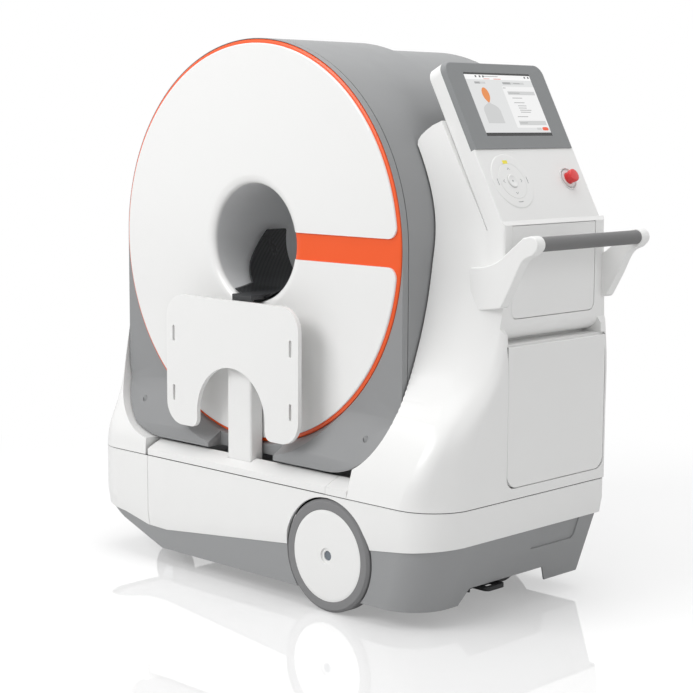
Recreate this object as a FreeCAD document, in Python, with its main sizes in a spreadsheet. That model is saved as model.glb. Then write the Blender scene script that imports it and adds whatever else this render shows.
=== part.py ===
import FreeCAD, Part
import math
import os
import re

import Sketcher
from FreeCAD import Placement, Rotation, Vector

# A head scanner on wheels: a ring-shaped gantry slides along its own bore axis on a
# wheeled base, in front of it stands a folding shoulder board on a post, and beside it a
# console tower with a display, bins and a push handle.
#
# Every piece is drawn from the foot of the bore: x runs from the bore axis towards the
# push handle, y from the front ring back into the machine, z up from the floor. Each
# piece is then moved so that the origin lies under the middle of the whole machine.

SIZES = {
    # overall reach from the bore axis and from the front ring
    "left_reach": 690, "right_reach": 930, "front_reach": 100, "rear_reach": 800,
    # bore and front ring
    "bore_height": 1023, "bore_radius": 175, "tube_wall": 5, "cover_radius": 583, "ring_radius": 594,
    "cover_face": 10, "cover_thickness": 6, "lip_width": 28, "lip_depth": 18, "tongue_depth": 12,
    "rim_round": 3, "ring_cone": 4, "disc_back": 10, "stripe_height": 78, "stripe_corner": 30,
    # gantry housing
    "barrel_radius": 597, "barrel_wall": 6, "housing_bottom": 395, "housing_corner": 230,
    "rim_depth": 22, "rim_nose": 62, "nose_low": 432, "nose_high": 560, "collar_flare": 27,
    "seam_gap": 2.5, "sleeve_end": 405, "channel_half": 144, "channel_depth": 10,
    "slide_travel": 300, "front_tube_end": 440, "rear_tube_start": 425,
    # fixed rear housing
    "rear_step": 18, "rear_start": 390, "rear_round": 24, "tunnel_gap": 5, "belly_half": 330,
    # rotor and its bearing
    "stator_thickness": 22, "stator_bore": 300, "race_outer": 345, "race_middle": 320, "race_inner": 296,
    "race_width": 26, "race_play": 0.06, "rotor_outer": 540, "rotor_inner": 215, "rotor_thickness": 20,
    "pocket_radius": 40, "pocket_circle": 375, "pocket_count": 8, "tube_unit_radius": 70,
    "tube_unit_length": 150, "focus_height": 430, "detector_radius": 880, "detector_depth": 60,
    "detector_width": 90,
    # carriage, rails and chassis
    "bed_bottom": 345, "bed_thickness": 20, "bed_half": 300, "bed_length": 315, "foot_half": 280,
    "rail_spread": 260, "rail_width": 24, "rail_height": 26, "rail_base": 300, "rail_length": 620,
    "block_length": 60, "beam_width": 60, "beam_bottom": 225, "beam_height": 50, "bearer_height": 25,
    "beam_wall": 4, "front_beam": 10, "rear_beam": 540,
    # base covers
    "base_right": 813, "base_rear": 665, "left_corner": 150, "right_corner": 140, "far_corner": 30,
    "seam_height": 341, "deck_edge": 361, "deck_rise": 385, "deck_lip": 48,
    "band_wall": 8.7, "facet_depth": 7, "facet_height": 45, "skirt_gap": 0.3, "skirt_wall": 6,
    "skirt_bottom": 50, "skirt_foot": 740, "skirt_shoulder": 240, "skirt_top": 273, "skirt_back": 18,
    "panel_seam": 390, "tower_seam": 400,
    # console
    "console_middle": 420, "console_width": 448, "fold_x": 780, "fold_height": 1112, "console_tilt": 27.8,
    "panel_length": 495, "panel_thickness": 58, "panel_corner": 38, "column_front": 792,
    "bezel_margin": 4, "bezel_start": 218, "bezel_rise": 3, "screen_width": 296, "screen_height": 200,
    "screen_start": 258, "screen_rise": 0.8, "pad_radius": 83, "pad_margin": 112, "pad_along": 119,
    "pad_rise": 2, "knob_radius": 20, "knob_rise": 5, "knob_travel": 1.5, "stop_margin": 79,
    "stop_along": 121, "stop_radius": 21, "stop_rise": 30, "stop_travel": 6, "stop_collar": 36,
    # bins, doors and handle
    "flap_width": 380, "flap_bottom": 842, "flap_top": 1098, "flap_thickness": 12, "flap_corner": 22,
    "door_width": 446, "door_bottom": 372, "door_top": 768, "door_corner": 26, "panel_gap": 1.5,
    "door_seat": 0.3, "door_pin": 4, "door_play": 0.06, "door_axis": 6, "door_bevel": 2,
    "bin_depth": 120, "shelf_top": 820, "shelf_depth": 75, "bar_radius": 20, "bar_height": 1056,
    "bar_inset": 21, "arm_thickness": 36,
    # post, shoulder board and head holder
    "post_half": 52, "post_front": 65, "post_back": 14, "post_top": 826, "board_half": 290,
    "board_front": 100, "board_thickness": 14, "board_top": 857, "board_bottom": 470, "board_corner": 46,
    "hinge_radius": 8, "hinge_height": 838, "hinge_setback": 75.5, "hinge_pin": 4, "hinge_play": 0.06,
    "hinge_half": 45, "knuckle_half": 24, "bracket_half": 42, "tongue_height": 857, "tongue_end": 130, "slot_across": 230, "slot_upper": 760, "slot_lower": 570,
    "slot_length": 62, "slot_half": 5,
    "holder_radius": 150, "holder_wall": 5, "holder_front": 130, "holder_back": 250,
    # wheels
    "wheel_radius": 163, "wheel_width": 56, "wheel_x": 405, "hub_radius": 132, "arch_gap": 5,
    "boss_radius": 36, "dimple_radius": 23,
    "axle_radius": 14, "axle_play": 0.06, "motor_radius": 52, "caster_radius": 80, "caster_width": 34,
    "caster_trail": 40, "caster_left": 530, "caster_right": 575, "caster_front": 95, "caster_rear": 480,
    "pedal_x": 700, "pedal_y": 178, "pedal_width": 80, "pedal_height": 88, "pedal_reach": 66,
    "stem_radius": 16, "stem_play": 0.06, "pin_radius": 6, "pin_play": 0.05,
}

DOC = FreeCAD.newDocument("HeadScanner")
SHEET = DOC.addObject("Spreadsheet::Sheet", "Sizes")
NODES = {}
AHEAD = Vector(0, 1, 0)


class Sheet:
    """Read a driving size back from the spreadsheet as a number."""

    def __getattr__(self, alias):
        return float(SHEET.get(alias))


S = Sheet()


def fill_sheet():
    for row, (alias, number) in enumerate(SIZES.items(), 1):
        SHEET.set(f"A{row}", alias)
        SHEET.set(f"B{row}", str(number))
        SHEET.setAlias(f"B{row}", alias)
    DOC.recompute()


def bound(text):
    """Turn size names in an expression into references to the sheet's cells."""
    def refer(match):
        word = match.group(0)
        return "Sizes." + word if word in SIZES else word
    return re.sub(r"[a-z_]+", refer, str(text))


# ---------------------------------------------------------------- document helpers


def node(label, item, x="0", y="0", z="0"):
    """Name a sub-part and move it from the foot of the bore to the machine's own origin."""
    item.Label = label
    item.setExpression("Placement.Base.x", bound(f"(left_reach - right_reach) / 2 + {x}"))
    item.setExpression("Placement.Base.y", bound(f"(front_reach - rear_reach) / 2 + {y}"))
    item.setExpression("Placement.Base.z", bound(z))
    NODES[label] = item
    return item


def solid_node(label, shape):
    """A sub-part whose shape is worked out with Part's own functions."""
    item = DOC.addObject("Part::Feature", label)
    item.Shape = shape
    return node(label, item)


def body_named(name):
    return DOC.addObject("PartDesign::Body", name)


def sketch_on(body, role, offset="0"):
    """An empty sketch on one of the body's origin planes, moved along its normal."""
    sketch = body.newObject("Sketcher::SketchObject", body.Name + "Sketch")
    plane = next(item for item in body.Origin.OriginFeatures if item.Role == role)
    sketch.AttachmentSupport = [(plane, "")]
    sketch.MapMode = "FlatFace"
    sketch.setExpression("AttachmentOffset.Base.z", bound(offset))
    return sketch


def pin_down(sketch, item, point, across, along):
    """Hold one point of the sketch at two sizes from the sketch's origin."""
    for kind, axis, text in (("DistanceX", -2, across), ("DistanceY", -1, along)):
        if str(text) == "0":
            sketch.addConstraint(Sketcher.Constraint("PointOnObject", item, point, axis))
            continue
        number = sketch.addConstraint(Sketcher.Constraint(kind, -1, 1, item, point, 10.0))
        sketch.setExpression(f"Constraints[{number}]", bound(text))


def polygon(sketch, corners):
    """Draw a closed outline whose corners are bound to the sheet."""
    count = len(corners)
    first = sketch.GeometryCount
    ring = [Vector(100 * math.cos(2 * math.pi * i / count), 100 * math.sin(2 * math.pi * i / count), 0)
            for i in range(count)]
    for index in range(count):
        sketch.addGeometry(Part.LineSegment(ring[index], ring[(index + 1) % count]))
    for index, (across, along) in enumerate(corners):
        after = first + (index + 1) % count
        sketch.addConstraint(Sketcher.Constraint("Coincident", first + index, 2, after, 1))
        pin_down(sketch, first + index, 1, across, along)
    return sketch


def circle(sketch, across, along, radius):
    """Draw a circle whose centre and radius are bound to the sheet."""
    item = sketch.addGeometry(Part.Circle(Vector(1, 1, 0), Vector(0, 0, 1), 5))
    pin_down(sketch, item, 3, across, along)
    number = sketch.addConstraint(Sketcher.Constraint("Radius", item, 5))
    sketch.setExpression(f"Constraints[{number}]", bound(radius))
    return sketch


def pad(body, sketch, length, reverse=False):
    feature = body.newObject("PartDesign::Pad", body.Name + "Pad")
    feature.Profile = sketch
    feature.setExpression("Length", bound(length))
    feature.Reversed = reverse
    DOC.recompute()
    return feature


def pocket(body, sketch, depth, reverse=False):
    """Cut the sketch's outline into the body and make sure that it did cut."""
    before = body.Shape.Volume
    feature = body.newObject("PartDesign::Pocket", body.Name + "Pocket")
    feature.Profile = sketch
    feature.setExpression("Length", bound(depth))
    feature.Reversed = reverse
    DOC.recompute()
    if feature.Shape.Volume > before - 1e-6:
        raise RuntimeError("pocket cuts nothing in " + body.Name)
    return feature


def edges_where(shape, test):
    return [f"Edge{index}" for index, edge in enumerate(shape.Edges, 1) if test(edge)]


def dress(body, kind, size, test):
    """Fillet or chamfer the edges of the body's tip that pass the test."""
    base = body.Tip
    names = edges_where(base.Shape, test)
    if not names:
        raise RuntimeError("no edge to round in " + body.Name)
    feature = body.newObject("PartDesign::" + kind, body.Name + kind)
    feature.Base = (base, names)
    feature.setExpression("Radius" if kind == "Fillet" else "Size", bound(size))
    DOC.recompute()
    return feature


def turned(name, corners, role="XY_Plane"):
    """Turn a half section about the sketch's upright axis: corners are (radius, along)."""
    body = body_named(name)
    sketch = polygon(sketch_on(body, role), corners)
    feature = body.newObject("PartDesign::Revolution", name + "Turn")
    feature.Profile = sketch
    feature.ReferenceAxis = (sketch, ["V_Axis"])
    feature.Angle = 360
    DOC.recompute()
    return body


def extruded(name, role, offset, length, corners, reverse=False):
    """Extrude an outline from a plane: the XZ plane's normal points to the front."""
    body = body_named(name)
    pad(body, polygon(sketch_on(body, role, offset), corners), length, reverse)
    return body


def is_circle(edge, radius, along):
    """A full or part circle about the body's y axis, of this radius at this height on it."""
    curve = edge.Curve
    if not isinstance(curve, Part.Circle):
        return False
    on_axis = abs(curve.Center.x) < 0.01 and abs(curve.Center.z) < 0.01
    return on_axis and abs(curve.Radius - radius) < 0.01 and abs(curve.Center.y - along) < 0.01


def is_along(edge, direction, point):
    """A straight edge in this direction through a point, given across that direction."""
    if not isinstance(edge.Curve, Part.Line):
        return False
    start, end = edge.Vertexes[0].Point, edge.Vertexes[-1].Point
    run = (end - start).normalize()
    miss = (point - start).cross(run).Length
    return run.cross(direction).Length < 0.001 and miss < 0.01


# ---------------------------------------------------------------- shapes shared by several pieces


def block(x0, x1, y0, y1, z0, z1):
    return Part.makeBox(x1 - x0, y1 - y0, z1 - z0, Vector(x0, y0, z0))


def prism(points, direction, length):
    """Extrude a closed outline of straight sides."""
    wire = Part.makePolygon(points + points[:1])
    return Part.Face(wire).extrude(direction * length)


def side_prism(points, y0, y1):
    """Extrude an outline drawn in x and z from y0 to y1."""
    return prism([Vector(x, y0, z) for x, z in points], AHEAD, y1 - y0)


def rod(start, end, radius):
    return Part.makeCylinder(radius, (end - start).Length, start, end - start)


def rounded(shape, radius, test):
    return shape.makeFillet(radius, [edge for edge in shape.Edges if test(edge)])


def housing(step, y0, y1):
    """The gantry's outline, drawn in by a step and extruded: round above the bore's
    height, upright sides below it, and large round lower corners."""
    radius = S.barrel_radius - step
    bottom = S.housing_bottom + step
    corner = S.housing_corner - step
    lower = block(-radius, radius, y0, y1, bottom, S.bore_height)
    lower = rounded(lower, corner, lambda edge: is_along(edge, AHEAD, Vector(radius, 0, bottom))
                    or is_along(edge, AHEAD, Vector(-radius, 0, bottom)))
    upper = Part.makeCylinder(radius, y1 - y0, Vector(0, y0, S.bore_height), AHEAD)
    return lower.fuse(upper).removeSplitter()


def bored(shape, radius, y0, y1):
    """Cut a round hole on the bore axis."""
    return shape.cut(Part.makeCylinder(radius, y1 - y0, Vector(0, y0, S.bore_height), AHEAD))


def plan_wire(inset, z, right, rear):
    """The base's outline from above at one height, drawn in by an inset, as a closed wire."""
    left, front = -S.left_reach + inset, -S.front_reach + inset
    right, rear = right - inset, rear - inset
    near, far = S.left_corner - inset, S.far_corner - inset
    corner = S.right_corner - inset
    arcs = []
    for x, y, radius, start in ((left + near, front + near, near, 180), (right - corner, front + corner, corner, 270),
                                (right - far, rear - far, far, 0), (left + near, rear - near, near, 90)):
        ring = Part.Circle(Vector(x, y, z), Vector(0, 0, 1), radius)
        arcs.append(Part.Edge(ring, math.radians(start), math.radians(start + 90)))
    edges = []
    for index, arc in enumerate(arcs):
        after = arcs[(index + 1) % len(arcs)]
        edges += [arc, Part.makeLine(arc.valueAt(arc.LastParameter), after.valueAt(after.FirstParameter))]
    return Part.Wire(edges)


def base_outline(inset, z0, z1):
    """The base's outline from above, drawn in by an inset, as an upright block."""
    wire = plan_wire(inset, z0, S.base_right, S.base_rear)
    return Part.Face(wire).extrude(Vector(0, 0, z1 - z0))


def tunnel():
    """The room that the gantry needs to slide through the covers."""
    return housing(-S.tunnel_gap, -S.front_reach - 50, S.rear_reach + 50)


# ---------------------------------------------------------------- gantry


def make_front_cover():
    """White disc with a slot for the stripe on the console's side and a lip round the bore."""
    body = body_named("front_cover")
    face = "-cover_face"
    back = "-cover_face + cover_thickness"
    outer = "bore_radius + lip_width"
    sketch = circle(sketch_on(body, "XZ_Plane", "cover_face"), "0", "0", "cover_radius")
    circle(sketch, "0", "0", outer)
    pad(body, sketch, "cover_thickness", True)
    slot = [("bore_radius", "stripe_height / 2"), ("cover_radius + 20", "stripe_height / 2"),
            ("cover_radius + 20", "-stripe_height / 2"), ("bore_radius", "-stripe_height / 2")]
    pocket(body, polygon(sketch_on(body, "XZ_Plane", "cover_face + 1"), slot), "cover_thickness + 2")
    half = S.stripe_height / 2
    reach = math.sqrt(S.cover_radius ** 2 - half ** 2)
    dress(body, "Fillet", "stripe_corner", lambda edge: is_along(edge, AHEAD, Vector(reach, 0, half))
          or is_along(edge, AHEAD, Vector(reach, 0, -half)))
    dress(body, "Chamfer", "rim_round", lambda edge: is_circle(edge, S.cover_radius, -S.cover_face))
    end = f"{face} + lip_depth"
    lip = polygon(sketch_on(body, "XY_Plane"), [
        ("bore_radius", end), ("bore_radius + 0.134 * lip_width", f"{face} + lip_depth / 2"),
        ("bore_radius + lip_width / 2", f"{face} + 0.134 * lip_depth"), (outer, face),
        (f"{outer} + 4", face), (f"{outer} + 4", back), (outer, back), (outer, end)])
    feature = body.newObject("PartDesign::Revolution", "front_coverLip")
    feature.Profile = lip
    feature.ReferenceAxis = (lip, ["V_Axis"])
    feature.Angle = 360
    DOC.recompute()
    mouth = [("bore_radius - 20", "stripe_height / 2"), (f"{outer} + 10", "stripe_height / 2"),
             (f"{outer} + 10", "-stripe_height / 2"), ("bore_radius - 20", "-stripe_height / 2")]
    pocket(body, polygon(sketch_on(body, "XZ_Plane", "cover_face + 1"), mouth), "lip_depth + 2")
    node("front_cover", body, z="bore_height")


def turned_shape(corners):
    """Turn a half section about the bore's axis: corners are (radius, y)."""
    points = [Vector(radius, y, S.bore_height) for radius, y in corners]
    face = Part.Face(Part.makePolygon(points + points[:1]))
    return face.revolve(Vector(0, 0, S.bore_height), AHEAD, 360)


def make_backing_disc():
    """Coloured disc behind the front cover: it shows as the outer ring and as the stripe,
    which runs over the bore's lip."""
    face = -S.cover_face + S.cover_thickness
    lip = S.bore_radius + S.lip_width
    shape = turned_shape([
        (lip + 0.5, face), (S.cover_radius + 0.6, face), (S.ring_radius, face + S.ring_cone),
        (S.ring_radius, S.disc_back), (lip + 0.5, S.disc_back)])
    end = -S.cover_face + S.lip_depth
    depth = S.tongue_depth
    roll = turned_shape([
        (S.bore_radius, end), (S.bore_radius + 0.134 * S.lip_width, end - depth / 2),
        (S.bore_radius + S.lip_width / 2, end - 0.866 * depth), (lip, end - depth), (lip + 1, end)])
    half = S.stripe_height / 2 - 0.3
    tongue = roll.common(block(0, lip + 5, -50, 50, S.bore_height - half, S.bore_height + half))
    solid_node("backing_disc", shape.fuse(tongue).removeSplitter())


def make_bore_tube():
    """Inner lining of the bore that slides with the gantry."""
    body = turned("bore_tube", [
        ("bore_radius", "cover_face - 1.7"), ("bore_radius", "front_tube_end"),
        ("bore_radius + tube_wall", "front_tube_end"), ("bore_radius + tube_wall", "disc_back + tube_wall"),
        ("bore_radius + lip_width + 12", "disc_back + tube_wall"), ("bore_radius + lip_width + 12", "disc_back"),
        ("bore_radius + tube_wall", "disc_back"), ("bore_radius + tube_wall", "cover_face - 1.7")])
    node("bore_tube", body, z="bore_height")


def nose_profile():
    """Side view of the front rim: upright above, leaning forward towards the floor."""
    low = S.housing_bottom - 20
    points = [(S.rim_depth, low), (-S.rim_nose, low), (-S.rim_nose, S.nose_low), (0, S.nose_high),
              (0, S.bore_height + 700), (S.rim_depth, S.bore_height + 700)]
    reach = S.barrel_radius + 50
    return prism([Vector(-reach, y, z) for y, z in points], Vector(1, 0, 0), 2 * reach)


def make_front_rim():
    """Grey front moulding: a ring round the disc with a nose under it, hollow behind, and
    a channel in the middle for the post."""
    y0, y1 = -S.rim_nose - 1, S.rim_depth
    wall = S.barrel_wall
    outer = housing(0, y0, y1).common(nose_profile())
    mouth = Part.makeCone(S.ring_radius + 0.6 + S.collar_flare + 10, S.ring_radius + 0.6, S.rim_nose + 2,
                          Vector(0, -S.rim_nose - 1, S.bore_height), AHEAD)
    shape = outer.cut(mouth)
    shape = bored(shape, S.ring_radius + 0.6, -1, S.disc_back)
    shape = bored(shape, S.ring_radius - 14, 0, S.rim_depth + 1)
    hollow = housing(wall, -S.rim_nose + wall, y1 + 1)
    shift = nose_profile().translated(Vector(0, 2 * wall, 0))
    core = Part.makeCylinder(S.ring_radius + wall, 400, Vector(0, -200, S.bore_height), AHEAD)
    flare = Part.makeCone(S.ring_radius + S.collar_flare + 10 + 2 * wall, S.ring_radius + 2 * wall, S.rim_nose + 2,
                          Vector(0, -S.rim_nose - 1, S.bore_height), AHEAD)
    depth = S.channel_depth
    half = S.channel_half + wall
    web = block(-half, half, y0 - 1, wall - depth, S.housing_bottom - 30, S.nose_high + wall)
    shape = shape.cut(hollow.common(shift).cut(core).cut(flare).cut(web))
    channel = block(-S.channel_half, S.channel_half, y0 - 1, -depth, S.housing_bottom - 30, S.nose_high)
    shape = shape.cut(channel)
    for side in (-1, 1):
        seat = Vector(side * 487, -S.rim_nose, 500)
        shape = shape.cut(rod(seat, seat + Vector(0, S.rim_nose, 0), 9.3))
    solid_node("front_rim", max(shape.Solids, key=lambda item: item.Volume))


def make_rim_plugs():
    """Two round plugs over the fixing screws of the front rim."""
    depth = S.rim_nose * (S.nose_high - 500) / (S.nose_high - S.nose_low)
    plugs = []
    for side in (-1, 1):
        face = Vector(side * 487, -depth + 2, 500)
        plugs.append(rod(face, face + Vector(0, 22, 0), 9))
    solid_node("rim_plugs", Part.makeCompound(plugs))


def make_sleeve():
    """Outer housing that slides with the gantry, open behind and along its belly."""
    y0, y1 = S.rim_depth + S.seam_gap, S.sleeve_end
    shape = housing(0, y0, y1).cut(housing(S.barrel_wall, y0 - 1, y1 + 1))
    shape = shape.cut(block(-S.bed_half, S.bed_half, y0 - 1, y1 + 1, S.housing_bottom - 5, S.housing_bottom + 30))
    solid_node("sleeve", shape)


def make_stator_plate():
    """Upright carrier plate of the gantry with its foot on the bed."""
    y0, y1 = S.rim_depth, S.rim_depth + S.stator_thickness
    plate = housing(S.barrel_wall + 0.3, y0, y1)
    top = S.bed_bottom + S.bed_thickness
    plate = plate.fuse(block(-S.foot_half, S.foot_half, y0, y1, top, S.housing_bottom + 60))
    plate = bored(plate, S.stator_bore, y0 - 1, y1 + 1)
    for side in (-1, 1):
        for height in (S.housing_corner * 0.55, S.housing_corner * 1.3):
            centre = Vector(side * 440, y0 - 1, S.housing_bottom + height)
            plate = plate.cut(Part.makeCylinder(45, S.stator_thickness + 2, centre, AHEAD))
    solid_node("stator_plate", plate.removeSplitter())


def make_bearing():
    """Slewing ring: the outer race is bolted to the carrier plate, the inner race to the rotor."""
    back = "rim_depth + stator_thickness"
    outer = turned("outer_race", [
        ("race_middle", back), ("race_outer + 30", back), ("race_outer + 30", f"{back} + race_width / 2"),
        ("race_outer", f"{back} + race_width / 2"), ("race_outer", f"{back} + race_width"),
        ("race_middle", f"{back} + race_width")])
    node("outer_race", outer, z="bore_height")
    inner = turned("inner_race", [
        ("race_inner", f"{back} + 3"), ("race_middle - race_play", f"{back} + 3"),
        ("race_middle - race_play", f"{back} + race_width + 4"), ("race_inner", f"{back} + race_width + 4")])
    node("inner_race", inner, z="bore_height")


def make_rotor_plate():
    """Turning plate with round pockets between its ribs; it carries the tube and detector."""
    body = body_named("rotor_plate")
    start = "rim_depth + stator_thickness + race_width + 4"
    sketch = circle(sketch_on(body, "XZ_Plane", f"-({start})"), "0", "0", "rotor_outer")
    circle(sketch, "0", "0", "rotor_inner")
    pad(body, sketch, "rotor_thickness", True)
    hole = circle(sketch_on(body, "XZ_Plane", f"-({start} - 1)"), "pocket_circle + 80", "0", "pocket_radius")
    first = pocket(body, hole, "rotor_thickness + 2")
    pattern = body.newObject("PartDesign::PolarPattern", "rotor_plateRing")
    pattern.Originals = [first]
    pattern.Axis = (sketch, ["N_Axis"])
    pattern.Angle = 360
    pattern.setExpression("Occurrences", bound("pocket_count"))
    body.Tip = pattern
    DOC.recompute()
    node("rotor_plate", body, z="bore_height")


def rotor_back():
    return S.rim_depth + S.stator_thickness + S.race_width + 4 + S.rotor_thickness


def make_tube_unit():
    """Ray tube in its round housing on the rotor, above the bore."""
    y0 = rotor_back()
    centre = Vector(0, y0, S.bore_height + S.focus_height)
    shape = Part.makeCylinder(S.tube_unit_radius, S.tube_unit_length, centre, AHEAD)
    shape = shape.makeChamfer(12, [edge for edge in shape.Edges if isinstance(edge.Curve, Part.Circle)
                                   and edge.Curve.Center.y > y0 + 1])
    saddle = block(-60, 60, y0, y0 + S.tube_unit_length * 0.7, S.bore_height + S.focus_height - 95,
                   S.bore_height + S.focus_height - 40)
    solid_node("ray_tube", shape.fuse(saddle).removeSplitter())


def make_collimator():
    """Wedge-shaped window under the ray tube that shapes the fan."""
    y0 = rotor_back()
    top = S.bore_height + S.focus_height - 95
    low = top - 70
    face = [(-45, top), (45, top), (85, low), (-85, low)]
    shape = side_prism(face, y0, y0 + 80)
    shape = shape.cut(side_prism([(-25, top + 1), (25, top + 1), (70, low - 1), (-70, low - 1)], y0 + 30, y0 + 50))
    solid_node("collimator", shape)


def make_detector_arc():
    """Curved detector opposite the tube, centred on the tube's focus."""
    y0 = rotor_back()
    focus = Vector(0, y0, S.bore_height + S.focus_height)
    ring = Part.makeCylinder(S.detector_radius, S.detector_width, focus, AHEAD)
    ring = ring.cut(Part.makeCylinder(S.detector_radius - S.detector_depth, S.detector_width, focus, AHEAD))
    reach = S.detector_radius * 0.36
    wedge = side_prism([(0, focus.z), (-reach, focus.z - S.detector_radius), (reach, focus.z - S.detector_radius)],
                       y0, y0 + S.detector_width)
    solid_node("detector_arc", ring.common(wedge))


def make_rotor_units():
    """Generator and cooler, one each side of the bore, so that the rotor is balanced."""
    y0 = rotor_back()
    for label, side in (("high_voltage_unit", -1), ("cooler_unit", 1)):
        x0, x1 = sorted((side * 250, side * 450))
        shape = block(x0, x1, y0, y0 + 130, S.bore_height - 130, S.bore_height + 130)
        shape = rounded(shape, 18, lambda edge: isinstance(edge.Curve, Part.Line)
                        and abs(edge.tangentAt(edge.FirstParameter).y) > 0.9)
        solid_node(label, shape)


def make_carriage():
    """Bed under the carrier plate and the four blocks that run on the rails."""
    body = extruded("gantry_bed", "XY_Plane", "bed_bottom", "bed_thickness", [
        ("-bed_half", "rim_depth"), ("bed_half", "rim_depth"),
        ("bed_half", "rim_depth + bed_length"), ("-bed_half", "rim_depth + bed_length")])
    node("gantry_bed", body)
    blocks = []
    low = S.rail_base + 8
    for side in (-1, 1):
        for y0 in (S.rim_depth + 30, S.rim_depth + S.bed_length - 30 - S.block_length):
            centre = side * S.rail_spread
            item = block(centre - 30, centre + 30, y0, y0 + S.block_length, low, S.bed_bottom)
            groove = S.rail_width / 2 + 0.3
            item = item.cut(block(centre - groove, centre + groove, y0 - 1, y0 + S.block_length + 1,
                                  low - 1, S.rail_base + S.rail_height + 0.3))
            blocks.append(item)
    solid_node("carriage_blocks", Part.makeCompound(blocks))


# ---------------------------------------------------------------- fixed rear housing


def make_rear_barrel():
    """Fixed housing that the sleeve slides over; its belly is open for the bed."""
    y0, y1 = S.rear_start, S.rear_reach - 40
    shape = housing(S.rear_step, y0, y1).cut(housing(S.rear_step + S.barrel_wall, y0 - 1, y1 + 1))
    low = S.housing_bottom
    shape = shape.cut(block(-S.belly_half, S.belly_half, y0 - 1, y1 + 1, low - 5, low + S.rear_step + 40))
    solid_node("rear_barrel", shape)


def make_rear_cover():
    """Rear end cap with a rounded rim and the bore's rear mouth."""
    y0, y1 = S.rear_reach - 40, S.rear_reach
    shape = housing(S.rear_step, y0, y1)
    shape = shape.makeChamfer(S.rear_round, [edge for edge in shape.Edges if edge.BoundBox.YMin > y1 - 0.01])
    inner = housing(S.rear_step + S.barrel_wall, y0 - 1, y1 - S.barrel_wall - S.rear_round)
    shape = shape.cut(inner)
    shape = bored(shape, S.bore_radius + 1.2 * S.tube_wall, y0 - 1, y1 + 1)
    solid_node("rear_cover", shape)


def make_rear_tube():
    """Fixed rear half of the bore's lining; the front half slides inside it."""
    inner = "bore_radius + 1.2 * tube_wall"
    end = "rear_reach - barrel_wall - rear_round"
    body = turned("rear_bore_tube", [
        (inner, "rear_tube_start"), (inner, end), ("bore_radius + 5 * tube_wall", end),
        ("bore_radius + 5 * tube_wall", f"{end} - tube_wall"),
        ("bore_radius + 2.2 * tube_wall", f"{end} - tube_wall"),
        ("bore_radius + 2.2 * tube_wall", "rear_tube_start")])
    node("rear_bore_tube", body, z="bore_height")


# ---------------------------------------------------------------- chassis


def make_chassis():
    """Welded frame: two long tubes, four bearers across them and a shelf for the post."""
    low, high = S.beam_bottom, S.beam_bottom + S.beam_height
    left, right = -S.left_reach + 70, S.base_right - 60
    shape = None
    for y0 in (S.front_beam, S.rear_beam):
        tube = block(left, right, y0, y0 + S.beam_width, low, high)
        tube = tube.cut(block(left - 1, right + 1, y0 + S.beam_wall, y0 + S.beam_width - S.beam_wall,
                              low + S.beam_wall, high - S.beam_wall))
        shape = tube if shape is None else shape.fuse(tube)
    for x in (-S.rail_spread, S.rail_spread):
        shape = shape.fuse(block(x - 25, x + 25, -S.deck_lip - 30, S.base_rear - 15, high, high + S.bearer_height))
    for x in (left + 30, right - 90):
        shape = shape.fuse(block(x, x + S.beam_width, S.front_beam, S.rear_beam + S.beam_width, high,
                                 high + S.bearer_height))
    shape = shape.fuse(block(-S.rail_spread, S.rail_spread - 26, -S.deck_lip - 30, 0, high, high + S.bearer_height))
    top = high + S.bearer_height
    for x in (-560, 440, right - 60):
        for y0 in (S.front_beam, S.rear_beam):
            shape = shape.fuse(block(x, x + 50, y0, y0 + S.beam_width, high, S.seam_height))
    for x in (-S.caster_left, S.caster_right):
        shape = shape.fuse(block(x - 30, x + 30, S.front_beam + S.beam_width, S.rear_beam, low, high))
        for y in (S.caster_front, S.caster_rear):
            shape = shape.cut(Part.makeCylinder(S.stem_radius + S.stem_play, S.beam_height - 10, Vector(x, y, low)))
    for side in (-1, 1):
        x0, x1 = sorted((side * 180, side * 240))
        stay = S.rim_depth + S.rail_length + 2
        shelf = S.housing_bottom - 10
        foot = S.housing_bottom + S.rear_step
        shape = shape.fuse(block(x0, x1, stay, S.base_rear - S.band_wall - 0.3, top - 1, shelf))
        shape = shape.fuse(block(x0, x1, stay, S.rear_reach - 26, shelf - 20, shelf))
        shape = shape.fuse(block(x0, x1, S.rear_reach - 38, S.rear_reach - 26, shelf - 20, foot))
    shaft = Vector(S.pedal_x, S.pedal_y - 14, S.pedal_height - 6)
    shape = shape.fuse(rod(shaft, shaft + AHEAD * (S.pedal_width + 28), S.pin_radius))
    for y0 in (shaft.y - 6, shaft.y + S.pedal_width + 28):
        shape = shape.fuse(block(shaft.x - 14, shaft.x + 14, y0, y0 + 6, shaft.z - 14, high + 1))
    inner = S.band_wall + S.skirt_gap + S.skirt_wall + 0.3
    for x in (-220, 620):
        shape = shape.fuse(block(x, x + 40, -S.front_reach + inner, S.front_beam, low + 8, low + 16))
        shape = shape.fuse(block(x, x + 40, S.rear_beam + S.beam_width, S.base_rear - S.skirt_back - inner,
                                 low + 8, low + 16))
    shape = shape.cut(block(-S.bed_half - 4, S.bed_half + 4, 1, S.base_rear - 16, top, S.seam_height + 5))
    solid_node("chassis_frame", shape.removeSplitter())


def make_rails():
    rails = []
    for side in (-1, 1):
        x = side * S.rail_spread
        half = S.rail_width / 2
        rails.append(block(x - half, x + half, S.rim_depth, S.rim_depth + S.rail_length, S.rail_base,
                           S.rail_base + S.rail_height))
    solid_node("rails", Part.makeCompound(rails))


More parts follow.
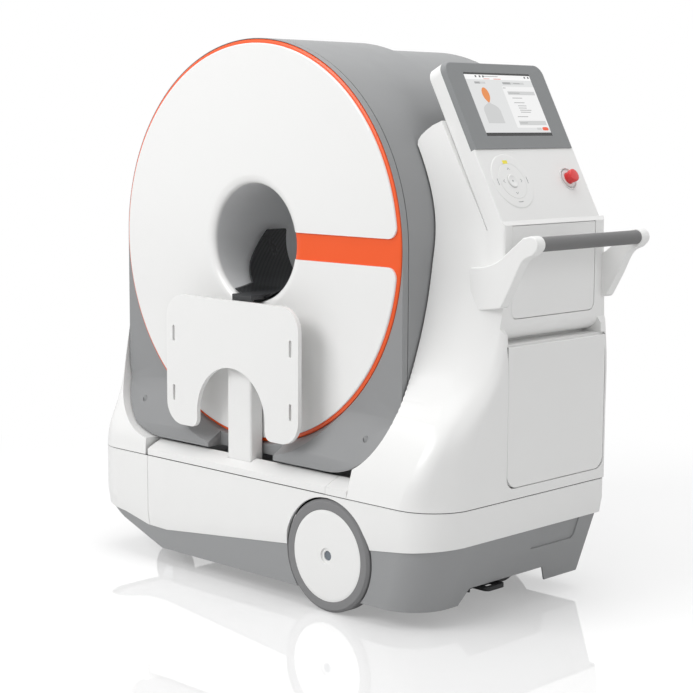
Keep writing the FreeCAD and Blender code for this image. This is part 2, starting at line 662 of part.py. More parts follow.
def wheel_arches(gap, reach):
    """Round rooms for the two drive wheels, from outside each side cover inwards."""
    front = Part.makeCylinder(S.wheel_radius + gap, reach + 50, Vector(S.wheel_x, -S.front_reach - 50, S.wheel_radius),
                              AHEAD)
    rear = Part.makeCylinder(S.wheel_radius + gap, reach + 50, Vector(S.wheel_x, S.base_rear - reach, S.wheel_radius),
                             AHEAD)
    return front.fuse(rear)


def faceted(solid):
    """Take a long flat facet off the lower outer edge of the base's band."""
    bottom = [face for face in solid.Faces if face.normalAt(0, 0).z < -0.9]
    lower = [edge for edge in solid.Edges if edge.BoundBox.ZMax < S.seam_height - 50
             and sum(1 for face in bottom for other in face.Edges if other.isSame(edge)) == 1]
    return solid.makeChamfer(S.facet_height, S.facet_depth, lower)


def leaning_block(inset, more):
    """Room inside the skirt's outline: its end leans inwards towards the floor."""
    rear = S.base_rear - S.skirt_back
    lean = S.base_right - S.band_wall - S.skirt_gap - S.skirt_foot
    wires = [plan_wire(inset, S.skirt_bottom - more, S.base_right - lean, rear),
             plan_wire(inset, S.skirt_shoulder, S.base_right, rear),
             plan_wire(inset, S.skirt_top + more, S.base_right, rear)]
    return Part.makeLoft(wires, True, True)


def make_lower_covers():
    """White band round the base, cut off along a slope, in two mouldings, and grey skirt."""
    slope = [(-S.left_reach - 5, 162), (-509, 139), (-397, 115), (-309, 113), (246, 169), (576, 209),
             (S.base_right + 5, 238), (S.base_right + 5, S.seam_height), (-S.left_reach - 5, S.seam_height)]
    solid = base_outline(0, 60, S.seam_height).common(side_prism(slope, -S.front_reach - 5, S.base_rear + 5))
    solid = faceted(solid)
    band = solid.cut(base_outline(S.band_wall, 59, S.seam_height + 1))
    band = band.cut(wheel_arches(S.arch_gap, S.wheel_width + 20))
    split = -S.panel_seam
    left = band.common(block(-S.left_reach - 5, split - 0.8, -200, 800, 50, 400))
    right = band.common(block(split + 0.8, S.base_right + 5, -200, 800, 50, 400))
    solid_node("left_band", left)
    solid_node("main_band", right)
    inset = S.band_wall + S.skirt_gap
    floor = S.skirt_bottom
    rake = [(-640, S.skirt_top + 1), (-640, 190), (-565, 142), (-522, 118), (-401, 74), (-330, floor - 1),
            (S.base_right, floor - 1), (S.base_right, S.skirt_top + 1)]
    skirt = leaning_block(inset, 0).cut(leaning_block(inset + S.skirt_wall, 1))
    skirt = skirt.common(side_prism(rake, -200, 800))
    skirt = skirt.cut(wheel_arches(S.arch_gap, S.wheel_width + 20))
    notch = [Vector(S.base_right - 200, y, z) for y, z in (
        (80, floor - 2), (112, 97), (438, 97), (470, floor - 2))]
    skirt = skirt.cut(prism(notch, Vector(1, 0, 0), 205))
    solid_node("skirt", skirt)


def deck_skin(x0, x1):
    """Deck wall between two cuts: upright in front, rising to the gantry's opening."""
    front = -S.front_reach
    profile = [(front, S.seam_height), (front, S.deck_edge), (-S.deck_lip, S.deck_rise),
               (-S.deck_lip + 8, S.deck_rise), (-S.deck_lip + 8, S.deck_rise - 8), (front + 6, S.deck_edge - 4),
               (front + 6, S.seam_height)]
    return prism([Vector(x0, y, z) for y, z in profile], Vector(1, 0, 0), x1 - x0)


def make_deck():
    """White deck between the two uprights, notched round the post."""
    shape = deck_skin(-S.panel_seam + 0.8, S.tower_seam - 0.8)
    gap = 1
    foot = block(-S.post_half - gap, S.post_half + gap, -S.post_front - gap, -S.post_back + gap, S.seam_height, 500)
    solid_node("deck_cover", shape.cut(foot))


# ---------------------------------------------------------------- uprights


def upright_section(level, points, bulge):
    """One level of an upright: straight sides with a rounded outer corner."""
    corners = [Vector(x, y, level) for x, y in points]
    inner_front, ridge, outer, far, inner_far = corners
    middle = (ridge + outer) * 0.5 + Vector(bulge[0], bulge[1], 0)
    edges = [Part.makeLine(inner_front, ridge), Part.Arc(ridge, middle, outer).toShape(),
             Part.makeLine(outer, far), Part.makeLine(far, inner_far), Part.makeLine(inner_far, inner_front)]
    return Part.Wire(edges)


def console_cut():
    """Everything in front of the slanted panel's back face, down to the fold."""
    tilt = math.radians(S.console_tilt)
    away = Vector(math.cos(tilt), 0, math.sin(tilt))
    slope = Vector(-math.sin(tilt), 0, math.cos(tilt))
    fold = Vector(S.fold_x, 0, S.fold_height)
    foot = fold - away * S.panel_thickness
    brow = S.column_front - S.fold_x
    points = [foot, foot + slope * 700, foot + slope * 700 + away * 700, fold + Vector(400, 0, 0) - Vector(0, 0, brow),
              fold + Vector(brow, 0, -brow), fold]
    return side_prism([(point.x, point.z) for point in points], -400, 1200)


def door_pins(label, radius, start, end):
    """The two pins at the foot of a flap or door, from a start to an end beyond its sides."""
    upper = label == "upper_flap"
    face, foot = (S.column_front, S.flap_bottom) if upper else (S.base_right, S.door_bottom)
    half = (S.flap_width if upper else S.door_width) / 2
    pins = []
    for side in (-1, 1):
        centre = Vector(face - S.door_axis, S.console_middle + side * (half + start), foot + S.door_axis)
        pins.append(rod(centre, centre + AHEAD * side * (end - start), radius))
    return pins


def make_tower():
    """White upright that wraps the gantry's right side and carries the console."""
    seam, right, front, far = S.seam_height, S.base_right, -S.front_reach, S.base_rear
    column, near = S.column_front, S.console_middle - S.console_width / 2
    inner = 480
    levels = [
        (seam, [(inner, front), (right - S.right_corner, front), (right, front + S.right_corner)], (29, -29)),
        (430, [(inner, -72), (right - 78, front), (right, front + 145)], (14, -14)),
        (540, [(inner, -45), (right - 48, -40), (right, 70)], (8, -8)),
        (700, [(inner, -20), (right - 68, 100), (right, 165)], (8, -8)),
        (870, [(inner, 30), (right - 93, 150), (column + 8, near)], (5, -6)),
        (1070, [(inner, 40), (right - 126, 190), (column, near)], (2, -3)),
        (1250, [(inner, 80), (right - 171, 187), (column, near)], (2, -3)),
        (1420, [(inner, 165), (right - 235, 186), (column, near)], (2, -3)),
    ]
    wires = []
    for level, points, bulge in levels:
        outer_x = points[2][0]
        wires.append(upright_section(level, points + [(outer_x, far), (inner, far)], bulge))
    shape = Part.makeLoft(wires, True, True)
    shape = shape.fuse(deck_skin(S.tower_seam + 0.8, inner + 1)).cut(tunnel()).cut(console_cut())
    top = prism([Vector(300, -100, 1298), Vector(300, 190, 1402), Vector(300, 900, 1402), Vector(300, 900, 1500),
                 Vector(300, -100, 1500)], Vector(1, 0, 0), 700)
    shape = shape.cut(top)
    half = S.flap_width / 2
    middle = S.console_middle
    gap = S.panel_gap
    # upper bin with a rebate for its flap, shelf under it, lower bin with a rebate for its door
    depth = S.column_front - S.bin_depth
    shape = shape.cut(block(depth, 900, middle - half + 12, middle + half - 12, S.flap_bottom + 12, S.flap_top - 12))
    shape = shape.cut(block(S.column_front - S.flap_thickness - S.door_seat, 900, middle - half - gap, middle + half + gap,
                            S.flap_bottom - gap, S.flap_top + gap))
    shape = shape.cut(block(S.column_front, 900, -200, 900, S.door_top + 6, S.fold_height + 200))
    shelf = [(900, S.door_top + 6), (S.base_right - S.shelf_depth, S.door_top + 6),
             (S.base_right - S.shelf_depth, S.shelf_top - 20), (S.column_front - 20, S.shelf_top + 6), (900, S.shelf_top + 6)]
    shape = shape.cut(side_prism(shelf, middle - S.door_width / 2 + 6, middle + S.door_width / 2 - 6))
    wide = S.door_width / 2
    shape = shape.cut(block(depth, 900, middle - wide + 14, middle + wide - 14, S.door_bottom + 14, S.door_top - 14))
    shape = shape.cut(block(S.base_right - S.flap_thickness - S.door_seat, 900, middle - wide - gap, middle + wide + gap,
                            S.door_bottom - gap, S.door_top + 7))
    for label in ("upper_flap", "lower_door"):
        for pin in door_pins(label, S.door_pin + S.door_play, 0, 5):
            shape = shape.cut(pin)
    solid_node("tower_shell", max(shape.Solids, key=lambda item: item.Volume))


def make_left_wing():
    """Low white upright round the gantry's left side."""
    seam, left, front, far = S.seam_height, -S.left_reach, -S.front_reach, S.base_rear
    corner = S.left_corner
    inner = -400
    levels = [
        (seam, [(inner, front), (left + corner, front), (left, front + corner)], (-31, -31)),
        (400, [(inner, front + 5), (left + corner, front + 8), (left + 4, front + corner + 10)], (-29, -29)),
        (470, [(inner, front + 30), (left + corner - 10, front + 35), (left + 14, front + corner + 40)], (-24, -24)),
        (550, [(inner, front + 60), (left + corner - 30, front + 64), (left + 28, front + corner + 80)], (-18, -18)),
        (640, [(inner, front + 80), (left + corner - 50, front + 88), (left + 44, front + corner + 120)], (-12, -12)),
        (760, [(inner, front + 90), (left + corner - 62, front + 112), (left + 66, front + corner + 160)], (-6, -6)),
    ]
    wires = []
    for level, points, bulge in levels:
        wires.append(upright_section(level, points + [(points[2][0], far), (inner, far)], bulge))
    shape = Part.makeLoft(wires, True, True)
    shape = shape.cut(tunnel())
    shape = shape.cut(block(-S.panel_seam - 0.8, 100, -200, 900, 300, 800))
    solid_node("left_wing", max(shape.Solids, key=lambda item: item.Volume))


# ---------------------------------------------------------------- console


def console_node(label, body):
    """Seat a piece on the slanted panel: its own x runs across the panel, y up the slope
    and z out of the face, from the middle of the fold."""
    tilt = math.radians(S.console_tilt)
    turn = Rotation(Vector(0, 1, 0), Vector(-math.sin(tilt), 0, math.cos(tilt)),
                    Vector(math.cos(tilt), 0, math.sin(tilt)), "ZXY")
    body.Placement = Placement(Vector(0, 0, 0), turn)
    node(label, body, x="fold_x", y="console_middle", z="fold_height")


def upright_edge(x, y):
    return lambda edge: is_along(edge, Vector(0, 0, 1), Vector(x, y, 0))


def rect(half_width, low, high):
    return [(f"-({half_width})", low), (half_width, low), (half_width, high), (f"-({half_width})", high)]


def make_console():
    half, length = S.console_width / 2, S.panel_length
    stop_at, pad_at = "console_width / 2 - stop_margin", "pad_margin - console_width / 2"
    head = extruded("console_head", "XY_Plane", "-panel_thickness", "panel_thickness",
                    rect("console_width / 2", "2", "panel_length"))
    dress(head, "Fillet", "panel_corner", lambda edge: upright_edge(half, length)(edge)
          or upright_edge(-half, length)(edge))
    dress(head, "Chamfer", "3", lambda edge: edge.BoundBox.ZMin > -0.01 and edge.BoundBox.YMax > 5)
    pocket(head, circle(sketch_on(head, "XY_Plane"), stop_at, "stop_along", "stop_collar"), "14")
    pocket(head, circle(sketch_on(head, "XY_Plane"), pad_at, "pad_along", "knob_radius + 0.5"), "8")
    console_node("console_head", head)

    margin = S.bezel_margin
    bezel = extruded("display_bezel", "XY_Plane", "0.0", "bezel_rise",
                     rect("console_width / 2 - bezel_margin", "bezel_start", "panel_length - bezel_margin"))
    side = S.console_width / 2 - margin
    dress(bezel, "Fillet", "panel_corner - bezel_margin", lambda edge: upright_edge(side, length - margin)(edge)
          or upright_edge(-side, length - margin)(edge))
    dress(bezel, "Chamfer", "bezel_rise * 0.5", lambda edge: edge.BoundBox.ZMin > S.bezel_rise - 0.01)
    pocket(bezel, polygon(sketch_on(bezel, "XY_Plane", "bezel_rise + 1"),
                          rect("screen_width / 2 + 0.3", "screen_start - 0.3", "screen_start + screen_height + 0.3")),
           "bezel_rise + 2")
    console_node("display_bezel", bezel)
    screen = extruded("screen", "XY_Plane", "0", "bezel_rise - screen_rise",
                      rect("screen_width / 2", "screen_start", "screen_start + screen_height"))
    console_node("screen", screen)

    plate = body_named("drive_pad")
    sketch = circle(sketch_on(plate, "XY_Plane"), pad_at, "pad_along", "pad_radius")
    circle(sketch, pad_at, "pad_along", "knob_radius + 0.5")
    pad(plate, sketch, "pad_rise")
    dress(plate, "Chamfer", "pad_rise * 0.5", lambda edge: edge.BoundBox.ZMin > S.pad_rise - 0.01
          and edge.Curve.Radius > S.pad_radius - 1)
    console_node("drive_pad", plate)
    knob = body_named("drive_button")
    pad(knob, circle(sketch_on(knob, "XY_Plane", "-4"), pad_at, "pad_along", "knob_radius"), "knob_rise + 4")
    dress(knob, "Chamfer", "1.5", lambda edge: edge.BoundBox.ZMin > S.knob_rise - 0.01)
    console_node("drive_button", knob)

    collar = body_named("stop_collar")
    sketch = circle(sketch_on(collar, "XY_Plane", "-14"), stop_at, "stop_along", "stop_collar - 0.4")
    circle(sketch, stop_at, "stop_along", "stop_radius - 3")
    pad(collar, sketch, "16")
    dish = circle(sketch_on(collar, "XY_Plane", "3"), stop_at, "stop_along", "stop_collar - 4")
    circle(dish, stop_at, "stop_along", "stop_radius + 5")
    pocket(collar, dish, "12")
    console_node("stop_collar", collar)
    button = body_named("stop_button")
    pad(button, circle(sketch_on(button, "XY_Plane", "-7"), stop_at, "stop_along", "stop_radius - 3.4"), "18")
    cap = circle(sketch_on(button, "XY_Plane", "stop_travel + 4"), stop_at, "stop_along", "stop_radius")
    pad(button, cap, "stop_rise - stop_travel - 4")
    dress(button, "Chamfer", "5", lambda edge: edge.BoundBox.ZMin > S.stop_rise - 0.01)
    console_node("stop_button", button)


def make_doors():
    """Upper flap with a rounded lower edge and the lower door, each hinged at its foot."""
    for label, front, wide, low, high in (
            ("upper_flap", "column_front", "flap_width / 2", "flap_bottom", "flap_top"),
            ("lower_door", "base_right", "door_width / 2", "door_bottom", "door_top")):
        body = extruded(label, "YZ_Plane", f"{front} - flap_thickness", "flap_thickness",
                        rect(wide, low, high))
        half = (S.flap_width if label == "upper_flap" else S.door_width) / 2
        foot = S.flap_bottom if label == "upper_flap" else S.door_bottom
        corner = "flap_corner" if label == "upper_flap" else "door_corner"
        dress(body, "Fillet", corner, lambda edge: is_along(edge, Vector(1, 0, 0), Vector(0, half, foot))
              or is_along(edge, Vector(1, 0, 0), Vector(0, -half, foot)))
        face = S.column_front if label == "upper_flap" else S.base_right
        dress(body, "Chamfer", "door_bevel", lambda edge: edge.BoundBox.XMin > face - 0.01)
        dress(body, "Chamfer", "door_axis", lambda edge: edge.BoundBox.XMax < face - S.flap_thickness + 0.01)
        shape = body.Shape.copy()
        shape.translate(AHEAD * S.console_middle)
        for pin in door_pins(label, S.door_pin, -24, 4):
            shape = shape.fuse(pin)
        solid_node(label, shape.removeSplitter())


def make_handle():
    """Round push bar between two wedge-shaped arms on the tower's sides."""
    y0 = S.console_middle - S.console_width / 2
    y1 = S.console_middle + S.console_width / 2
    x = S.right_reach - S.bar_radius
    z = S.bar_height
    middle = (y0 + y1) / 2
    tower = NODES["tower_shell"].Shape.copy()
    tower.Placement = Placement()
    half = (y1 - y0) / 2 - S.bar_inset
    bar = rod(Vector(x, middle - half, z), Vector(x, middle + half, z), S.bar_radius)
    solid_node("push_bar", bar)
    for label, start, end in (("near_arm", middle - half - S.arm_thickness, middle - half),
                              ("far_arm", middle + half, middle + half + S.arm_thickness)):
        shape = side_prism([(S.column_front - 108, 968), (S.column_front - 90, 845), (S.column_front - 50, 850),
                            (x + 20, z - 8), (x, z + 24), (x - 22, z + 18)], start, end)
        tip = rod(Vector(x, start, z), Vector(x, end, z), S.bar_radius + 4)
        shape = shape.fuse(tip).removeSplitter().cut(tower)
        solid_node(label, max(shape.Solids, key=lambda item: item.Volume))


# ---------------------------------------------------------------- post, board and head holder


def make_post():
    body = extruded("post", "XY_Plane", "rail_base", "post_top - rail_base", [
        ("-post_half", "-post_front"), ("post_half", "-post_front"),
        ("post_half", "-post_back"), ("-post_half", "-post_back")])
    dress(body, "Fillet", "8", lambda edge: isinstance(edge.Curve, Part.Line)
          and abs(edge.tangentAt(edge.FirstParameter).z) > 0.9)
    node("post", body)


def make_board():
    """Shoulder board: a plate with an arch between two legs and four upright slots."""
    front, half = -S.board_front, S.board_half
    low, high = S.board_bottom, S.board_top
    plate = block(-half, half, front, front + S.board_thickness, low, high)
    plate = rounded(plate, S.board_corner, lambda edge: is_along(edge, AHEAD, Vector(half, 0, high))
                    or is_along(edge, AHEAD, Vector(-half, 0, high)))
    arch_half = 150
    arch_top = low + 120
    arch = block(-arch_half, arch_half, front - 1, front + S.board_thickness + 1, low - 1, arch_top)
    arch = rounded(arch, 110, lambda edge: is_along(edge, AHEAD, Vector(arch_half, 0, arch_top))
                   or is_along(edge, AHEAD, Vector(-arch_half, 0, arch_top)))
    plate = plate.cut(arch)
    plate = rounded(plate, 60, lambda edge: abs(edge.tangentAt(edge.FirstParameter).y) > 0.9
                    and edge.BoundBox.ZMax < low + 1)
    for side in (-1, 1):
        for centre in (S.slot_upper, S.slot_lower):
            x = side * S.slot_across
            reach = S.slot_length / 2 - S.slot_half
            slot = block(x - S.slot_half, x + S.slot_half, front - 1, front + S.board_thickness + 1,
                         centre - reach, centre + reach)
            for end in (-reach, reach):
                slot = slot.fuse(rod(Vector(x, front - 1, centre + end),
                                     Vector(x, front + S.board_thickness + 1, centre + end), S.slot_half))
            plate = plate.cut(slot)
    axis = Vector(0, -S.hinge_setback, S.hinge_height)
    grip = S.knuckle_half
    back = front + S.board_thickness
    knuckle = rod(axis - Vector(grip, 0, 0), axis + Vector(grip, 0, 0), S.hinge_radius)
    leaf = block(-grip, grip, back, axis.y, S.hinge_height - S.hinge_radius, S.hinge_height + S.hinge_radius)
    plate = plate.fuse(knuckle).fuse(leaf)
    hole = S.hinge_pin + S.hinge_play
    plate = plate.cut(rod(axis - Vector(grip + 1, 0, 0), axis + Vector(grip + 1, 0, 0), hole))
    solid_node("shoulder_board", plate.removeSplitter())


def make_board_bracket():
    """Two ears on the post's front with the pin that the board's knuckle turns on."""
    axis = Vector(0, -S.hinge_setback, S.hinge_height)
    reach, grip = S.hinge_half, S.knuckle_half + 0.4
    plate = block(-reach, reach, -S.post_front - 4, -S.post_front, S.post_top - 60, S.post_top)
    shape = plate.fuse(rod(axis - Vector(reach, 0, 0), axis + Vector(reach, 0, 0), S.hinge_pin))
    for start, end in ((-reach, -grip), (grip, reach)):
        shape = shape.fuse(rod(Vector(start, axis.y, axis.z), Vector(end, axis.y, axis.z), S.hinge_radius))
        shape = shape.fuse(block(start, end, axis.y - 2, -S.post_front, S.post_top - 40, S.post_top))
        shape = shape.fuse(block(start, end, axis.y, -S.post_front - 1.5, S.post_top - 1, axis.z))
    solid_node("board_bracket", shape.removeSplitter())


def make_holder():
    """Head holder: a curved shell in the bore with flared lower front."""
    centre = Vector(0, -S.holder_front, S.bore_height - 8)
    outer = Part.makeCylinder(S.holder_radius, S.holder_back + S.holder_front, centre, AHEAD)
    inner = Part.makeCylinder(S.holder_radius - S.holder_wall, S.holder_back + S.holder_front + 2,
                              centre - AHEAD, AHEAD)
    shell = outer.cut(inner)
    side = prism([Vector(-400, y, z) for y, z in (
        (-60, 800), (-60, 900), (-30, 940), (40, 1062), (190, 1062), (250, 1000), (250, 800))],
        Vector(1, 0, 0), 800)
    solid_node("head_holder", shell.common(side))
    half, low = S.bracket_half, S.tongue_height
    seat = centre.z - S.holder_radius
    shape = block(-half, half, -S.post_back - 38, -S.post_back - 3, S.post_top, S.post_top + 8)
    shape = shape.fuse(block(-half, half, -S.post_back - 38, -S.post_back - 28, S.post_top, seat))
    shape = shape.fuse(block(-half, half, -S.post_back - 38, S.tongue_end, low, seat + 8))
    shape = shape.cut(outer)
    solid_node("holder_bracket", max(shape.Solids, key=lambda item: item.Volume))


# ---------------------------------------------------------------- wheels


def make_drive_wheels():
    half = S.wheel_width / 2
    for label, y in (("front", "-front_reach + wheel_width / 2"), ("rear", "base_rear - wheel_width / 2")):
        out = "-1" if label == "front" else "1"
        tyre = turned(f"{label}_tyre", [
            ("hub_radius", f"-wheel_width / 2 + 1"), ("wheel_radius - 8", "-wheel_width / 2"),
            ("wheel_radius", "-wheel_width / 2 + 8"), ("wheel_radius", "wheel_width / 2 - 8"),
            ("wheel_radius - 8", "wheel_width / 2"), ("hub_radius", "wheel_width / 2 - 1")])
        node(f"{label}_tyre", tyre, "wheel_x", y, "wheel_radius")
        hub = turned(f"{label}_hub", [
            ("axle_radius + axle_play", f"{out} * (-wheel_width / 2 + 12)"), ("boss_radius", f"{out} * (-wheel_width / 2 + 12)"),
            ("boss_radius", "0"), ("hub_radius - 12", "0"), ("hub_radius - 12", f"{out} * (-wheel_width / 2 + 4)"),
            ("hub_radius", f"{out} * (-wheel_width / 2 + 4)"), ("hub_radius", f"{out} * (wheel_width / 2 - 2)"),
            ("hub_radius - 12", f"{out} * (wheel_width / 2)"), ("dimple_radius", f"{out} * (wheel_width / 2)"),
            ("dimple_radius", f"{out} * (wheel_width / 2 - 5)"),
            ("axle_radius + axle_play", f"{out} * (wheel_width / 2 - 5)")])
        node(f"{label}_hub", hub, "wheel_x", y, "wheel_radius")


def make_motors():
    """Gear motors inside the base, each with the axle of its drive wheel."""
    for label, side, start in (("front_motor", -1, -S.front_reach + S.wheel_width + 14),
                               ("rear_motor", 1, S.base_rear - S.wheel_width - 14)):
        way = AHEAD * -side
        centre = Vector(S.wheel_x, start, S.wheel_radius)
        shape = rod(centre, centre + way * 150, S.motor_radius)
        shape = shape.fuse(block(S.wheel_x - 35, S.wheel_x + 35, min(start, start + 150 * -side),
                                 max(start, start + 150 * -side), S.wheel_radius, S.beam_bottom))
        tip = centre - way * (S.wheel_width + 14 - 8)
        shape = shape.fuse(rod(centre, tip, S.axle_radius))
        solid_node(label, shape.removeSplitter())


def make_brake_pedal():
    """Foot pedal in the notch of the skirt: a ring-shaped tread on two side levers."""
    x, y, width = S.pedal_x, S.pedal_y, S.pedal_width
    high = S.pedal_height
    shape = block(x, x + S.pedal_reach, y, y + width, high - 12, high)
    shape = rounded(shape, 14, lambda edge: is_along(edge, Vector(0, 0, 1), Vector(x + S.pedal_reach, y, 0))
                    or is_along(edge, Vector(0, 0, 1), Vector(x + S.pedal_reach, y + width, 0)))
    shape = shape.cut(block(x + 18, x + S.pedal_reach - 14, y + 14, y + width - 14, high - 13, high + 1))
    barrel = Vector(x, y, high - 6)
    shape = shape.fuse(rod(barrel, barrel + AHEAD * width, 10))
    shape = shape.cut(rod(barrel - AHEAD, barrel + AHEAD * (width + 1), S.pin_radius + S.pin_play))
    solid_node("brake_pedal", shape.removeSplitter())


def make_casters():
    """Four swivel casters: a fork under a plate, and a wheel on its pin."""
    half = S.caster_width / 2
    places = {"left_front": (-S.caster_left, S.caster_front), "left_rear": (-S.caster_left, S.caster_rear),
              "right_front": (S.caster_right, S.caster_front), "right_rear": (S.caster_right, S.caster_rear)}
    radius = S.caster_radius
    for name, (x, y) in places.items():
        trail = -S.caster_trail if name.startswith("left") else S.caster_trail
        axle = Vector(x - trail, y, radius)
        crown = radius * 2 + 12
        fork = Part.makeCylinder(34, 14, Vector(x, y, crown))
        low, high = min(x, x - trail) - 24, max(x, x - trail) + 24
        fork = fork.fuse(block(low, high, y - half - 11, y + half + 11, crown, crown + 8))
        for side in (-1, 1):
            y0 = y + side * (half + 3)
            y1 = y + side * (half + 11)
            cheek = side_prism([(axle.x - 16, radius - 14), (axle.x + 16, radius - 14), (high, crown),
                                (low, crown)], min(y0, y1), max(y0, y1))
            fork = fork.fuse(cheek)
        fork = fork.fuse(rod(axle - AHEAD * (half + 11), axle + AHEAD * (half + 11), S.pin_radius))
        fork = fork.fuse(Part.makeCylinder(26, S.beam_bottom - crown - 0.3, Vector(x, y, crown)))
        fork = fork.fuse(Part.makeCylinder(S.stem_radius, S.beam_bottom + S.beam_height - 20 - crown,
                                           Vector(x, y, crown)))
        solid_node(f"{name}_fork", fork.removeSplitter())
        wheel = turned(f"{name}_roller", [
            ("pin_radius + pin_play", "-caster_width / 2"), ("caster_radius", "-caster_width / 2"),
            ("caster_radius", "caster_width / 2"), ("pin_radius + pin_play", "caster_width / 2")])
        sign = "-caster_left" if name.startswith("left") else "caster_right"
        along = "caster_front" if name.endswith("front") else "caster_rear"
        shift = "+ caster_trail" if name.startswith("left") else "- caster_trail"
        node(f"{name}_roller", wheel, f"{sign} {shift}", along, "caster_radius")


# ---------------------------------------------------------------- assembly


def check_document():
    for item in DOC.Objects:
        if "Invalid" in item.State or "Error" in item.State:
            raise RuntimeError(f"{item.Name} did not recompute")
    for label, item in NODES.items():
        if item.Shape.isNull() or not item.Shape.isValid():
            raise RuntimeError(f"{label} has no sound shape")
        if item.Shape.Volume < 1:
            raise RuntimeError(f"{label} is empty")


def write_parts():
    os.makedirs("parts", exist_ok=True)
    for label, item in NODES.items():
        item.Shape.exportStep(os.path.join("parts", label + ".step"))


def main():
    fill_sheet()
    make_front_cover()
    make_backing_disc()
    make_bore_tube()
    make_front_rim()
    make_rim_plugs()
    make_sleeve()
    make_stator_plate()
    make_bearing()
    make_rotor_plate()
    make_tube_unit()
    make_collimator()
    make_detector_arc()
    make_rotor_units()
    make_carriage()
    make_rear_barrel()
    make_rear_cover()
    make_rear_tube()
    make_chassis()
    make_rails()
    make_lower_covers()
    make_deck()
    make_tower()
    make_left_wing()
    make_console()
    make_doors()
    make_handle()
    make_post()
    make_board()
    make_board_bracket()
    make_holder()
    make_drive_wheels()
    make_motors()
    make_brake_pedal()
    make_casters()
    DOC.recompute()
    check_document()
    write_parts()


main()
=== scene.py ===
import logging
import math
from dataclasses import dataclass, field
from enum import Enum
from typing import Iterable, Sequence

import bmesh
import bpy
from mathutils import Matrix, Vector


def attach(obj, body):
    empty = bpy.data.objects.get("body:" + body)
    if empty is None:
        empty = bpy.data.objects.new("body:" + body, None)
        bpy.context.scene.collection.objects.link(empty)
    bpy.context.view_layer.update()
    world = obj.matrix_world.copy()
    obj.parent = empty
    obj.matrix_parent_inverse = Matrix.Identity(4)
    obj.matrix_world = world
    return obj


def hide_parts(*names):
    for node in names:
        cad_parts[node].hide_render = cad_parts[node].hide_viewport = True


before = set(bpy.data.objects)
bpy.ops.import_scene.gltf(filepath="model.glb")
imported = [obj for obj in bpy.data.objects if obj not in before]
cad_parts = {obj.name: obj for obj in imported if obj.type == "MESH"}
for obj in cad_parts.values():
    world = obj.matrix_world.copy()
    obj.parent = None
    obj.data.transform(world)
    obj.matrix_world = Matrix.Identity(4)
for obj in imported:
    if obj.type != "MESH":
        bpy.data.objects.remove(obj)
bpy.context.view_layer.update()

LOG = logging.getLogger("head_scanner")

# A head scanner on wheels: ring gantry, front disc with a coloured stripe, shoulder board on a
# post, console tower with a display, bins and push bar, and a white base on two drive wheels
# and four casters. Lengths are millimetres from the foot of the bore, as in the part's source:
# x from the bore's axis towards the push bar, y from the front ring backwards, z from the floor.
FOOT = Vector((-0.120, -0.350, 0.0))
MM = 0.001
BORE = Vector((0.0, 0.0, 1023.0))

Spot = tuple[float, float]
Profile = Sequence[Spot]
Colour = tuple[float, float, float, float]


# ---------------------------------------------------------------- finishes


class Pattern(Enum):
    """How a surface was made, which decides its fine structure."""

    PAINTED = "painted"
    MOULDED = "moulded"
    SPARKED = "sparked"
    BRUSHED = "brushed"
    CAST = "cast"
    RUBBER = "rubber"
    TWILL = "twill"


def linear(code: str) -> Colour:
    """Turns an sRGB hex value into linear colour.

    Args:
        code: Six hex digits after a hash.

    Returns:
        Linear red, green and blue, with an alpha of one.
    """
    parts = [int(code[i:i + 2], 16) / 255 for i in (1, 3, 5)]
    red, green, blue = (c / 12.92 if c <= 0.04045 else ((c + 0.055) / 1.055) ** 2.4 for c in parts)
    return red, green, blue, 1.0


def shade(code: str, factor: float) -> Colour:
    """Scales a hex colour in linear light.

    Args:
        code: The sRGB hex value.
        factor: What its red, green and blue are multiplied by.

    Returns:
        The linear colour, no part above one.
    """
    red, green, blue, _ = linear(code)
    return min(1.0, red * factor), min(1.0, green * factor), min(1.0, blue * factor), 1.0


def add(tree: bpy.types.NodeTree, kind: str, links: dict | None = None, **settings: object) -> bpy.types.Node:
    """Adds a node with its settings and links.

    Args:
        tree: The node tree.
        kind: The node's type name.
        links: For each input, by name or number, the output socket or plain value it takes.
        **settings: Attributes to set on the node.

    Returns:
        The new node.
    """
    node = tree.nodes.new(kind)
    for key, value in settings.items():
        setattr(node, key, value)
    for key, value in (links or {}).items():
        if isinstance(value, bpy.types.NodeSocket):
            tree.links.new(value, node.inputs[key])
        else:
            node.inputs[key].default_value = value
    return node


